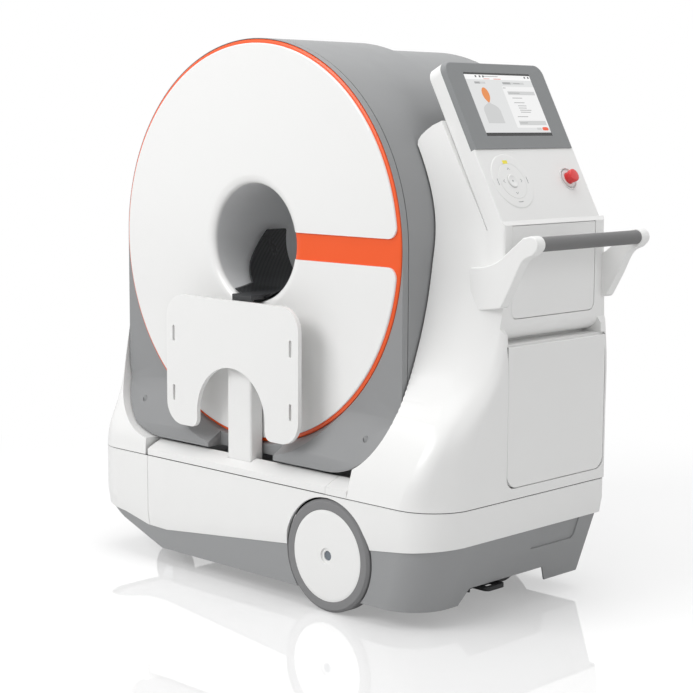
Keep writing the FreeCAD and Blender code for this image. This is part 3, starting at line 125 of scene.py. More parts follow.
@dataclass(frozen=True)
class Finish:
    """One real material with the way its surface was made.

    The colour is an sRGB hex value, grain the size of the surface's structure in millimetres,
    relief the strength of that structure, tone how far the colour drifts over a hand's width,
    and spread how far the roughness does.
    """

    name: str
    colour: str
    roughness: float
    pattern: Pattern
    grain: float = 1.0
    relief: float = 0.1
    tone: float = 0.02
    spread: float = 0.05
    metallic: float = 0.0
    ior: float = 1.5
    coat: float = 0.0
    coat_roughness: float = 0.1

    def material(self) -> bpy.types.Material:
        """Builds the node material once and hands it out again after that.

        Returns:
            The material.
        """
        known = bpy.data.materials.get(self.name)
        if known:
            return known
        made = bpy.data.materials.new(self.name)
        made.use_nodes = True
        tree = made.node_tree
        tree.nodes.clear()
        place = add(tree, "ShaderNodeTexCoord").outputs["Object"]
        shader = add(tree, "ShaderNodeBsdfPrincipled")
        shader.inputs["Metallic"].default_value = self.metallic
        shader.inputs["IOR"].default_value = self.ior
        shader.inputs["Coat Weight"].default_value = self.coat
        shader.inputs["Coat Roughness"].default_value = self.coat_roughness
        drift = add(tree, "ShaderNodeTexNoise", {"Vector": place, "Scale": 9.0, "Detail": 3.0,
                                                 "Roughness": 0.55}).outputs["Fac"]
        colour = add(tree, "ShaderNodeMix", {0: drift, 6: shade(self.colour, 1 - self.tone),
                                             7: shade(self.colour, 1 + self.tone)}, data_type="RGBA")
        wear = add(tree, "ShaderNodeMapRange", {0: drift, 1: 0.3, 2: 0.7,
                                                3: max(0.02, self.roughness - self.spread),
                                                4: self.roughness + self.spread})
        height, base = self.structure(tree, place, colour.outputs[2])
        bump = add(tree, "ShaderNodeBump", {"Strength": self.relief, "Distance": self.grain * MM * 0.5,
                                            "Height": height})
        tree.links.new(base, shader.inputs["Base Color"])
        tree.links.new(wear.outputs[0], shader.inputs["Roughness"])
        tree.links.new(bump.outputs[0], shader.inputs["Normal"])
        add(tree, "ShaderNodeOutputMaterial", {"Surface": shader.outputs[0]})
        return made

    def structure(self, tree: bpy.types.NodeTree, place: bpy.types.NodeSocket,
                  base: bpy.types.NodeSocket) -> tuple[bpy.types.NodeSocket, bpy.types.NodeSocket]:
        """Adds the fine structure that the way of making leaves.

        Args:
            tree: The material's node tree.
            place: The object coordinates, in metres.
            base: The colour before the structure changes it.

        Returns:
            The height for the bump and the colour.
        """
        per_metre = 1.0 / (self.grain * MM)
        if self.pattern is Pattern.BRUSHED:
            stretched = add(tree, "ShaderNodeMapping", {"Vector": place, "Scale": (0.04, 1.0, 1.0)})
            lines = add(tree, "ShaderNodeTexNoise", {"Vector": stretched.outputs[0], "Scale": per_metre,
                                                     "Detail": 2.0})
            return lines.outputs["Fac"], base
        if self.pattern is Pattern.TWILL:
            return self.twill(tree, base)
        detail = {Pattern.PAINTED: 1.0, Pattern.MOULDED: 2.0, Pattern.SPARKED: 4.0, Pattern.CAST: 6.0,
                  Pattern.RUBBER: 5.0}[self.pattern]
        grain = add(tree, "ShaderNodeTexNoise", {"Vector": place, "Scale": per_metre, "Detail": detail,
                                                 "Roughness": 0.6})
        if self.pattern in (Pattern.PAINTED, Pattern.MOULDED):
            return grain.outputs["Fac"], base
        speck = add(tree, "ShaderNodeMapRange", {0: grain.outputs["Fac"], 1: 0.35, 2: 0.65, 3: 0.93, 4: 1.05})
        tinted = add(tree, "ShaderNodeMix", {0: 1.0, 6: base, 7: speck.outputs[0]}, data_type="RGBA",
                     blend_type="MULTIPLY")
        return grain.outputs["Fac"], tinted.outputs[2]

    def twill(self, tree: bpy.types.NodeTree,
              base: bpy.types.NodeSocket) -> tuple[bpy.types.NodeSocket, bpy.types.NodeSocket]:
        """Adds a two by two twill of flat tows that follows the piece's UV map.

        Args:
            tree: The material's node tree.
            base: The laminate's colour.

        Returns:
            The height of the tows and the colour with lighter and darker tows painted in, a painted sheen.
        """
        uv = add(tree, "ShaderNodeUVMap", uv_map="cloth").outputs[0]
        scaled = add(tree, "ShaderNodeVectorMath", {0: uv, 3: 1.0 / (self.grain * MM)}, operation="SCALE")
        split = add(tree, "ShaderNodeSeparateXYZ", {0: scaled.outputs[0]}).outputs
        cells = [add(tree, "ShaderNodeMath", {0: split[i]}, operation="FLOOR").outputs[0] for i in (0, 1)]
        total = add(tree, "ShaderNodeMath", {0: cells[0], 1: cells[1]}, operation="ADD").outputs[0]
        phase = add(tree, "ShaderNodeMath", {0: total, 1: 4.0}, operation="FLOORED_MODULO").outputs[0]
        warp = add(tree, "ShaderNodeMath", {0: phase, 1: 1.5}, operation="LESS_THAN").outputs[0]
        crowns = []
        for i in (0, 1):
            part = add(tree, "ShaderNodeMath", {0: split[i]}, operation="FRACT").outputs[0]
            crown = add(tree, "ShaderNodeMath", {0: part, 1: 0.5, 2: 0.5}, operation="PINGPONG")
            crowns.append(crown.outputs[0])
        height = add(tree, "ShaderNodeMix", {0: warp, 2: crowns[0], 3: crowns[1]}, data_type="FLOAT")
        # Painted sheen: tows of one direction are painted lighter and the others darker, for the light they
        # catch.
        tow_sheen = add(tree, "ShaderNodeMapRange", {0: warp, 3: 0.55, 4: 1.9}).outputs[0]
        tinted = add(tree, "ShaderNodeMix", {0: 1.0, 6: base, 7: tow_sheen}, data_type="RGBA",
                     blend_type="MULTIPLY")
        return height.outputs[0], tinted.outputs[2]


# Sprayed two-part paint on the moulded covers: even white with a soft orange-peel gleam.
WHITE = Finish("white_cover_paint", "#ebebea", 0.34, Pattern.PAINTED, grain=2.2, relief=0.06, tone=0.006,
               coat=0.15)
# The front disc is the same white moulding polished a little further, so it mirrors the board.
DISC = Finish("white_disc_gloss", "#ebebea", 0.20, Pattern.PAINTED, grain=3.5, relief=0.03, tone=0.005,
              coat=0.3)
# Powder coat on steel plate: matt white with a fine pebbled skin.
PLATE = Finish("white_powder_coat", "#e9e9e8", 0.55, Pattern.CAST, grain=0.9, relief=0.10, tone=0.008)
# Dyed ABS of the ring and stripe, moulded with a satin skin: warm orange, soft highlights.
ORANGE = Finish("orange_abs", "#ee5510", 0.36, Pattern.MOULDED, grain=2.5, relief=0.04, tone=0.012, coat=0.1)
# Matt grey paint on the gantry's housing: mid grey with no gloss, it spreads the light.
GREY = Finish("grey_housing_paint", "#8d8e8f", 0.52, Pattern.PAINTED, grain=1.6, relief=0.08, tone=0.012)
# Grained polypropylene of the skirt: grey, slightly rough, knocks don't show.
SKIRT = Finish("grey_skirt_polypropylene", "#959697", 0.58, Pattern.SPARKED, grain=0.8, relief=0.12,
               tone=0.015)
# Eroded mould texture of the display's frame: fine, dry and even grey.
BEZEL = Finish("grey_bezel_abs", "#828485", 0.50, Pattern.SPARKED, grain=0.6, relief=0.10, tone=0.01)
# Soft-touch coating of the push bar: grey, nearly without a highlight.
GRIP = Finish("grey_soft_touch", "#727272", 0.62, Pattern.RUBBER, grain=0.7, relief=0.08, tone=0.02)
# Satin liner of the bore: grey sheet that glides under the shroud, painted paler than its own grey as painted
# light for the deep bore that little light reaches.
LINER = Finish("grey_bore_liner", "#dddedf", 0.42, Pattern.PAINTED, grain=2.0, relief=0.04, tone=0.01)
# Gloss nylon of the stop button: saturated red with a small sharp highlight.
RED = Finish("red_nylon", "#dd2a2a", 0.25, Pattern.MOULDED, grain=1.5, relief=0.03, tone=0.01, coat=0.3)
# Woven carbon laminate under clear resin: black tows, with a painted sheen that makes the tows of one
# direction lighter than the others.
CARBON = Finish("carbon_twill_laminate", "#1b1c1e", 0.30, Pattern.TWILL, grain=4.0, relief=0.25, tone=0.02,
                coat=0.6)
# Brushed aluminium of the brackets: fine lines across, bright but soft.
BRACKET = Finish("brushed_aluminium", "#b9babc", 0.32, Pattern.BRUSHED, grain=0.6, relief=0.10, metallic=1.0)
# Grey non-marking rubber of the drive wheels and casters: dusty and matt.
TYRE = Finish("grey_tyre_rubber", "#7f7f80", 0.72, Pattern.RUBBER, grain=1.2, relief=0.15, tone=0.04)
# Black rubber of the pedal's tread: nearly no shine. The same black paints the shade in the seam under the
# deck and in the gaps beside the flap and door.
BLACK = Finish("black_rubber_and_gap_shade", "#17181a", 0.66, Pattern.RUBBER, grain=0.8, relief=0.12, tone=0.05)
# Painted steel weldment under the covers: dark grey with a light orange peel.
FRAME = Finish("dark_frame_paint", "#3a3b3d", 0.48, Pattern.PAINTED, grain=2.0, relief=0.12, tone=0.04)
# Ground and hardened bearing steel: bright with fine grinding lines.
STEEL = Finish("ground_steel", "#a6a8ab", 0.26, Pattern.BRUSHED, grain=0.4, relief=0.08, metallic=1.0)
# Sand-cast and milled aluminium of the carrier plates: pale with a dry grain.
CAST = Finish("cast_aluminium", "#b4b5b7", 0.46, Pattern.CAST, grain=1.5, relief=0.18, tone=0.03,
              metallic=1.0)
# Enamelled steel of the generator and tube housings: blue grey, satin.
UNIT = Finish("blue_grey_enamel", "#6d747c", 0.40, Pattern.PAINTED, grain=2.0, relief=0.08, tone=0.02)
# Zinc-plated screws: small bright dots.
SCREW = Finish("zinc_plated_steel", "#9c9da0", 0.30, Pattern.BRUSHED, grain=0.3, relief=0.05, metallic=1.0)
# Yellow vinyl film, stuck on: a small bright patch.
YELLOW = Finish("yellow_vinyl_film", "#f0e24c", 0.45, Pattern.MOULDED, grain=1.0, relief=0.02, tone=0.01)
# Printed grey ink of the dial's marks, flat on the pad.
INK = Finish("grey_ink", "#8d8f91", 0.55, Pattern.MOULDED, grain=0.5, relief=0.02, tone=0.02)


@dataclass(frozen=True)
class Glow:
    """A patch of the lit display: an even colour behind flat glass."""

    name: str
    colour: str
    strength: float = 0.9

    def material(self) -> bpy.types.Material:
        """Builds the lit display material once and hands it out again after that.

        Returns:
            The material.
        """
        known = bpy.data.materials.get(self.name)
        if known:
            return known
        made = bpy.data.materials.new(self.name)
        made.use_nodes = True
        tree = made.node_tree
        tree.nodes.clear()
        place = add(tree, "ShaderNodeTexCoord").outputs["Object"]
        pixels = add(tree, "ShaderNodeTexNoise", {"Vector": place, "Scale": 1.0 / (3.0 * MM), "Detail": 1.0})
        tint = add(tree, "ShaderNodeMix", {0: pixels.outputs["Fac"], 6: shade(self.colour, 0.98),
                                           7: shade(self.colour, 1.02)}, data_type="RGBA")
        shader = add(tree, "ShaderNodeBsdfPrincipled", {
            "Base Color": (0.02, 0.02, 0.02, 1), "Roughness": 0.12, "Emission Color": tint.outputs[2],
            "Emission Strength": self.strength})
        add(tree, "ShaderNodeOutputMaterial", {"Surface": shader.outputs[0]})
        return made


Coat = Finish | Glow


# ---------------------------------------------------------------- mesh helpers


class Blank:
    """A mesh under construction, in millimetres from the foot of the bore."""

    def __init__(self) -> None:
        """Starts empty."""
        self.bm = bmesh.new()

    def ring(self, points: Iterable[Vector]) -> list[bmesh.types.BMVert]:
        """Adds loose vertices and hands them back in order."""
        return [self.bm.verts.new(point) for point in points]

    def strip(self, first: list[bmesh.types.BMVert], second: list[bmesh.types.BMVert]) -> None:
        """Joins two closed rings of equal count with quads.

        Args:
            first: The first ring.
            second: The second ring.
        """
        count = len(first)
        for i in range(count):
            j = (i + 1) % count
            self.bm.faces.new((first[i], first[j], second[j], second[i]))

    def loft(self, sections: Sequence[Sequence[Vector]]) -> "Blank":
        """Skins closed sections of equal count and fills the first and the last.

        Args:
            sections: The sections in order.

        Returns:
            This blank.
        """
        rings = [self.ring(section) for section in sections]
        for first, second in zip(rings, rings[1:]):
            self.strip(first, second)
        self.bm.faces.new(rings[0])
        self.bm.faces.new(rings[-1])
        return self.oriented()

    def prism(self, outline: Sequence[Vector], way: Vector) -> "Blank":
        """Extrudes a closed outline along a way."""
        return self.loft([outline, [point + way for point in outline]])

    def lathe(self, profile: Profile, steps: int = 128, centre: Vector = BORE,
              axis: Vector = Vector((0, 1, 0))) -> "Blank":
        """Turns a closed half section about an axis.

        Args:
            profile: Pairs of radius and distance along the axis.
            steps: Divisions round the axis.
            centre: A point on the axis, where the distance is zero.
            axis: The axis, a unit vector.

        Returns:
            This blank.
        """
        side = axis.orthogonal().normalized()
        other = axis.cross(side)
        rings = []
        for k in range(steps):
            turn = 2 * math.pi * k / steps
            out = side * math.cos(turn) + other * math.sin(turn)
            rings.append(self.ring(centre + out * radius + axis * along for radius, along in profile))
        for k in range(steps):
            self.strip(rings[k], rings[(k + 1) % steps])
        bmesh.ops.remove_doubles(self.bm, verts=self.bm.verts, dist=0.001)
        return self.oriented()

    def box(self, low: tuple[float, float, float], high: tuple[float, float, float]) -> "Blank":
        """Adds a block between two corners, as a cutter or the start of a shape.

        Args:
            low: The corner with the least of each place.
            high: The corner across from it.

        Returns:
            This blank.
        """
        base = [Vector((low[0], low[1], low[2])), Vector((high[0], low[1], low[2])),
                Vector((high[0], high[1], low[2])), Vector((low[0], high[1], low[2]))]
        return self.prism(base, Vector((0, 0, high[2] - low[2])))

    def oriented(self) -> "Blank":
        """Turns every face outwards."""
        bmesh.ops.recalc_face_normals(self.bm, faces=self.bm.faces)
        return self

    def temporary(self) -> bpy.types.Object:
        """Makes a scratch object of the blank, in metres, for the modifiers.

        Returns:
            The object; the blank is spent.
        """
        to_frame = Matrix.Translation(FOOT) @ Matrix.Scale(MM, 4)
        bmesh.ops.transform(self.bm, matrix=to_frame, verts=self.bm.verts)
        return scratch(self.bm)


def scratch(bm: bmesh.types.BMesh) -> bpy.types.Object:
    """Turns a bmesh into a linked object and frees it.

    Args:
        bm: The mesh, in the frame's metres.

    Returns:
        The new object.
    """
    mesh = bpy.data.meshes.new("scratch")
    bm.to_mesh(mesh)
    bm.free()
    made = bpy.data.objects.new("scratch", mesh)
    bpy.context.scene.collection.objects.link(made)
    return made


def settle(item: bpy.types.Object) -> bpy.types.Object:
    """Applies an object's modifiers.

    Args:
        item: The object.

    Returns:
        The same object with a plain mesh.
    """
    bpy.context.view_layer.update()
    graph = bpy.context.evaluated_depsgraph_get()
    mesh = bpy.data.meshes.new_from_object(item.evaluated_get(graph), preserve_all_data_layers=True,
                                           depsgraph=graph)
    item.modifiers.clear()
    old = item.data
    item.data = mesh
    if old.users == 0:
        bpy.data.meshes.remove(old)
    return item


def combine(item: bpy.types.Object, others: Sequence[bpy.types.Object], operation: str) -> bpy.types.Object:
    """Cuts, joins or intersects an object with others and deletes those.

    Args:
        item: The object that is changed.
        others: The cutters.
        operation: DIFFERENCE, UNION or INTERSECT.

    Returns:
        The changed object.
    """
    for other in others:
        modifier = item.modifiers.new("combine", "BOOLEAN")
        modifier.operation = operation
        modifier.solver = "EXACT"
        modifier.object = other
    settle(item)
    for other in others:
        bpy.data.objects.remove(other)
    return item


def merged(node: str) -> bpy.types.Object:
    """Copies a CAD node's mesh, joined up into one skin with flat faces whole.

    Args:
        node: The node's name.

    Returns:
        A new object; the CAD mesh itself isn't touched.
    """
    bm = bmesh.new()
    bm.from_mesh(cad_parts[node].data)
    bmesh.ops.remove_doubles(bm, verts=bm.verts, dist=0.00002)
    bmesh.ops.join_triangles(bm, faces=bm.faces, angle_face_threshold=math.radians(0.3),
                             angle_shape_threshold=math.radians(60))
    return scratch(bm)


# ---------------------------------------------------------------- outlines


def arc(centre: Spot, radius: float, start: float, end: float, steps: int) -> list[Spot]:
    """Points on a circular arc in a plane.

    Args:
        centre: The centre.
        radius: The radius.
        start: The first angle in degrees.
        end: The last angle in degrees.
        steps: How many divisions.

    Returns:
        The points, both ends included.
    """
    turns = [math.radians(start + (end - start) * k / steps) for k in range(steps + 1)]
    return [(centre[0] + radius * math.cos(t), centre[1] + radius * math.sin(t)) for t in turns]


def rounded_rect(low: Spot, high: Spot, lower: float, upper: float, steps: int = 8) -> list[Spot]:
    """A rectangle's outline with rounded corners, counted the same for any radius.

    Args:
        low: Its lower left corner.
        high: Its upper right corner.
        lower: Radius of the two lower corners.
        upper: Radius of the two upper corners.
        steps: Divisions of each corner.

    Returns:
        The outline's points, counterclockwise.
    """
    (x0, y0), (x1, y1) = low, high
    corners = ((x0 + lower, y0 + lower, lower, 180), (x1 - lower, y0 + lower, lower, 270),
               (x1 - upper, y1 - upper, upper, 0), (x0 + upper, y1 - upper, upper, 90))
    return [spot for x, y, radius, start in corners for spot in arc((x, y), radius, start, start + 90, steps)]


def flow(points: Sequence[Spot], steps: int = 8) -> list[Spot]:
    """A smooth open line through points in a plane.

    Args:
        points: The points in order.
        steps: Divisions between two of them.

    Returns:
        The line's points, both ends included.
    """
    line = []
    last = len(points) - 1
    for k in range(last):
        ends = [points[max(0, min(last, k + i))] for i in (-1, 0, 1, 2)]
        for i in range(steps):
            t = i / steps
            line.append(tuple(0.5 * (2 * b + (c - a) * t + (2 * a - 5 * b + 4 * c - d) * t ** 2
                                     + (3 * b - a - 3 * c + d) * t ** 3) for a, b, c, d in zip(*ends)))
    return [*line, points[-1]]


def bent(before: Vector, corner: Vector, after: Vector, reach: float, steps: int) -> list[Vector]:
    """A soft corner: a parabola that leaves both sides at the same distance from the corner.

    Args:
        before: A point on the side that comes in.
        corner: The corner.
        after: A point on the side that goes out.
        reach: The distance at which the parabola leaves the sides.
        steps: How many divisions.

    Returns:
        The points, both ends included.
    """
    first = corner + (before - corner).normalized() * reach
    last = corner + (after - corner).normalized() * reach
    parts = [k / steps for k in range(steps + 1)]
    return [first * (1 - t) ** 2 + corner * 2 * t * (1 - t) + last * t * t for t in parts]


def along_bore(outline: Sequence[Spot], y0: float, depth: float) -> bpy.types.Object:
    """A scratch block: an outline in x and z, pushed backwards from a place along the bore."""
    return Blank().prism([Vector((x, y0, z)) for x, z in outline], Vector((0, depth, 0))).temporary()


def across_bore(outline: Sequence[Spot], x0: float, depth: float) -> bpy.types.Object:
    """A scratch block: an outline in y and z, pushed towards the push bar from a place across."""
    return Blank().prism([Vector((x0, y, z)) for y, z in outline], Vector((depth, 0, 0))).temporary()


# ---------------------------------------------------------------- shapes that follow a rule


class Rule:
    """A Geometry Nodes tree with named sizes in metres that makes one mesh."""

    def __init__(self, name: str, sizes: dict[str, float | int]) -> None:
        """Starts the tree with one input for each size and one for the finish.

        Args:
            name: The tree's name.
            sizes: The named sizes; whole numbers become counts.
        """
        self.tree = bpy.data.node_groups.new(name, "GeometryNodeTree")
        self.sizes = sizes
        face = self.tree.interface
        face.new_socket("Geometry", in_out="OUTPUT", socket_type="NodeSocketGeometry")
        for key, value in sizes.items():
            kind = "NodeSocketInt" if isinstance(value, int) else "NodeSocketFloat"
            face.new_socket(key, in_out="INPUT", socket_type=kind)
        face.new_socket("Finish", in_out="INPUT", socket_type="NodeSocketMaterial")
        self.inputs = self.tree.nodes.new("NodeGroupInput").outputs

    def add(self, kind: str, links: dict | None = None, **settings: object) -> bpy.types.NodeSocket:
        """Adds a node and hands back its first output."""
        return add(self.tree, kind, links, **settings).outputs[0]

    def maths(self, operation: str, first: object, second: object) -> bpy.types.NodeSocket:
        """Adds a sum, difference, product or comparison of two values."""
        return self.add("ShaderNodeMath", {0: first, 1: second}, operation=operation)

    def grow(self, geometry: bpy.types.NodeSocket, coat: Coat) -> bpy.types.Object:
        """Ends the tree and turns its result into a plain mesh.

        Args:
            geometry: The socket with the finished geometry.
            coat: The finish that the tree sets.

        Returns:
            A new object with a plain mesh.
        """
        real = self.add("GeometryNodeRealizeInstances", {0: geometry})
        dressed = self.add("GeometryNodeSetMaterial", {"Geometry": real, "Material": self.inputs["Finish"]})
        add(self.tree, "NodeGroupOutput", {0: dressed})
        item = bpy.data.objects.new("scratch", bpy.data.meshes.new("scratch"))
        bpy.context.scene.collection.objects.link(item)
        modifier = item.modifiers.new("rule", "NODES")
        modifier.node_group = self.tree
        values = {**self.sizes, "Finish": coat.material()}
        for socket in self.tree.interface.items_tree:
            if socket.in_out == "INPUT":
                modifier[socket.identifier] = values[socket.name]
        return settle(item)


def housing_shell(y0: float, y1: float, outline: tuple[float, float, float], wall: float,
                  coat: Coat) -> bpy.types.Object:
    """Sweeps a wall round the gantry's outline: round on top, upright sides, round lower corners.

    Args:
        y0: Front end, in millimetres.
        y1: Rear end.
        outline: Radius of the top, height of the bottom and radius of the lower corners.
        wall: Thickness of the wall.
        coat: Its finish.

    Returns:
        The shell as a plain object, in the frame's metres.
    """
    radius, bottom, corner = outline
    rule = Rule("housing_outline", {"Radius": radius * MM, "Bottom": bottom * MM, "Corner": corner * MM,
                                    "Axis": BORE.z * MM, "Wall": wall * MM, "Length": (y1 - y0) * MM,
                                    "Middle": (y0 + y1) / 2 * MM, "Edge": 1.2 * MM, "Divisions": 64})
    size = rule.inputs
    half = rule.maths("MULTIPLY", size["Wall"], 0.5)
    outer = rule.maths("SUBTRACT", size["Radius"], half)
    top = rule.maths("ADD", size["Axis"], outer)
    low = rule.maths("ADD", size["Bottom"], half)
    box = rule.add("GeometryNodeCurvePrimitiveQuadrilateral", {
        "Width": rule.maths("MULTIPLY", outer, 2.0), "Height": rule.maths("SUBTRACT", top, low)})
    place = rule.add("GeometryNodeInputPosition")
    across = add(rule.tree, "ShaderNodeSeparateXYZ", {0: place}).outputs[1]
    above = rule.maths("GREATER_THAN", across, 0.0)
    bend = rule.add("ShaderNodeMix", {0: above, 2: rule.maths("SUBTRACT", size["Corner"], half),
                                      3: rule.maths("SUBTRACT", outer, 0.0002)}, data_type="FLOAT")
    path = rule.add("GeometryNodeFilletCurve", {"Curve": box, "Radius": bend, "Count": size["Divisions"],
                                                "Limit Radius": True}, mode="POLY")
    path = rule.add("GeometryNodeSetCurveNormal", {"Curve": path}, mode="Z_UP")
    section = rule.add("GeometryNodeCurvePrimitiveQuadrilateral", {"Width": size["Wall"],
                                                                   "Height": size["Length"]})
    section = rule.add("GeometryNodeFilletCurve", {"Curve": section, "Radius": size["Edge"], "Count": 2},
                       mode="POLY")
    swept = rule.add("GeometryNodeCurveToMesh", {"Curve": path, "Profile Curve": section})
    height = rule.maths("MULTIPLY", rule.maths("ADD", top, low), 0.5)
    middle = rule.maths("ADD", size["Middle"], FOOT.y)
    centre = rule.add("ShaderNodeCombineXYZ", {0: FOOT.x, 1: middle, 2: height})
    stood = rule.add("GeometryNodeTransform", {"Geometry": swept, "Rotation": (math.pi / 2, 0, 0),
                                               "Translation": centre})
    return rule.grow(stood, coat)


def screw_ring(centre: Vector, ring: float, count: int, coat: Coat) -> bpy.types.Object:
    """Sets socket screws on a circle that faces backwards.

    Args:
        centre: The circle's middle, in millimetres from the foot of the bore.
        ring: The circle's radius.
        count: How many screws.
        coat: Their finish.

    Returns:
        All the screw heads as one plain object.
    """
    rule = Rule("screw_ring", {"Screws": count, "Ring": ring * MM, "Head": 5.0 * MM, "Rise": 3.0 * MM,
                               "Socket": 2.4 * MM})
    size = rule.inputs
    head = rule.add("GeometryNodeMeshCylinder", {"Vertices": 24, "Radius": size["Head"],
                                                 "Depth": size["Rise"]})
    hexagon = rule.add("GeometryNodeMeshCylinder", {"Vertices": 6, "Radius": size["Socket"],
                                                    "Depth": size["Rise"]})
    lift = rule.add("ShaderNodeCombineXYZ", {2: rule.maths("MULTIPLY", size["Rise"], 0.6)})
    hexagon = rule.add("GeometryNodeTransform", {"Geometry": hexagon, "Translation": lift})
    head = rule.add("GeometryNodeMeshBoolean", {0: head, 1: hexagon}, operation="DIFFERENCE")
    circle = rule.add("GeometryNodeMeshCircle", {"Vertices": size["Screws"], "Radius": size["Ring"]})
    heads = rule.add("GeometryNodeInstanceOnPoints", {"Points": circle, "Instance": head})
    turned = rule.add("GeometryNodeTransform", {"Geometry": heads, "Rotation": (-math.pi / 2, 0, 0),
                                                "Translation": tuple(centre * MM + FOOT)})
    return rule.grow(turned, coat)


def tread_ribs(start: Vector, pitch: float, count: int, size: tuple[float, float, float],
               coat: Coat) -> bpy.types.Object:
    """Sets a row of low ribs, as on a pedal's tread, one behind the other along the bore.

    Args:
        start: Middle of the first rib, in millimetres from the foot of the bore.
        pitch: From the middle of one rib to the middle of the next.
        count: How many ribs.
        size: A rib's length, width and height.
        coat: Their finish.

    Returns:
        All the ribs as one plain object.
    """
    long, wide, high = (side * MM for side in size)
    rule = Rule("tread_ribs", {"Ribs": count, "Pitch": pitch * MM, "Long": long, "Wide": wide, "High": high})
    sizes = rule.inputs
    rib = rule.add("ShaderNodeCombineXYZ", {0: sizes["Long"], 1: sizes["Wide"], 2: sizes["High"]})
    rib = rule.add("GeometryNodeMeshCube", {"Size": rib})
    offset = rule.add("ShaderNodeCombineXYZ", {1: sizes["Pitch"]})
    line = rule.add("GeometryNodeMeshLine", {"Count": sizes["Ribs"], "Offset": offset}, mode="OFFSET")
    ribs = rule.add("GeometryNodeInstanceOnPoints", {"Points": line, "Instance": rib})
    placed = rule.add("GeometryNodeTransform", {"Geometry": ribs, "Translation": tuple(start * MM + FOOT)})
    return rule.grow(placed, coat)


@dataclass
class Assembly:
    """A sub-assembly: a group of pieces that ride on CAD bodies."""

    pieces: list[bpy.types.Object] = field(default_factory=list)

    def piece(self, item: bpy.types.Object, name: str, coat: Coat, body: str, slot: str,
              stands_for: Sequence[str] = (), sharp: float = 32.0, round_edges: float = 0.0,
              segments: int = 2) -> bpy.types.Object:
        """Finishes a mesh: rounds its edges, smooths it, dresses it and puts it on its body.

        Args:
            item: The object, in the frame's metres.
            name: The piece's name.
            coat: Its finish.
            body: The CAD body it rides on.
            slot: The record's material slot; not used.
            stands_for: CAD nodes it replaces.
            sharp: Edges turned by more than this many degrees stay sharp.
            round_edges: Radius in millimetres put on those edges, or zero.
            segments: Divisions of that radius.

        Returns:
            The finished piece.
        """
        item.name = name
        item.data.name = name
        if round_edges:
            bevel = item.modifiers.new("edges", "BEVEL")
            bevel.width = round_edges * MM
            bevel.segments = segments
            bevel.limit_method = "ANGLE"
            bevel.angle_limit = math.radians(sharp)
            bevel.use_clamp_overlap = True
            bevel.miter_outer = "MITER_ARC"
            settle(item)
        mesh = item.data
        mesh.polygons.foreach_set("use_smooth", [True] * len(mesh.polygons))
        mesh.set_sharp_from_angle(angle=math.radians(sharp))
        weighted = item.modifiers.new("normals", "WEIGHTED_NORMAL")
        weighted.keep_sharp = True
        settle(item)
        item.data.name = name
        item.data.materials.clear()
        item.data.materials.append(coat.material())
        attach(item, body)
        if stands_for:
            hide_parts(*stands_for)
        self.pieces.append(item)
        LOG.info("%s: %d faces on %s", name, len(item.data.polygons), body)
        return item

    def carry(self, node: str, coat: Coat, body: str, slot: str, round_edges: float = 0.8,
              sharp: float = 32.0) -> bpy.types.Object:
        """Finishes a merged copy of a CAD node and lets it stand for that node."""
        return self.piece(merged(node), node + "_skin", coat, body, slot, [node], sharp, round_edges)

    def dress(self, coat: Coat, *nodes: str) -> None:
        """Gives CAD nodes that stay as they are their finish.

        Args:
            coat: The finish.
            *nodes: The nodes' names.
        """
        for node in nodes:
            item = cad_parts[node]
            item.data.materials.clear()
            item.data.materials.append(coat.material())


# ---------------------------------------------------------------- gantry


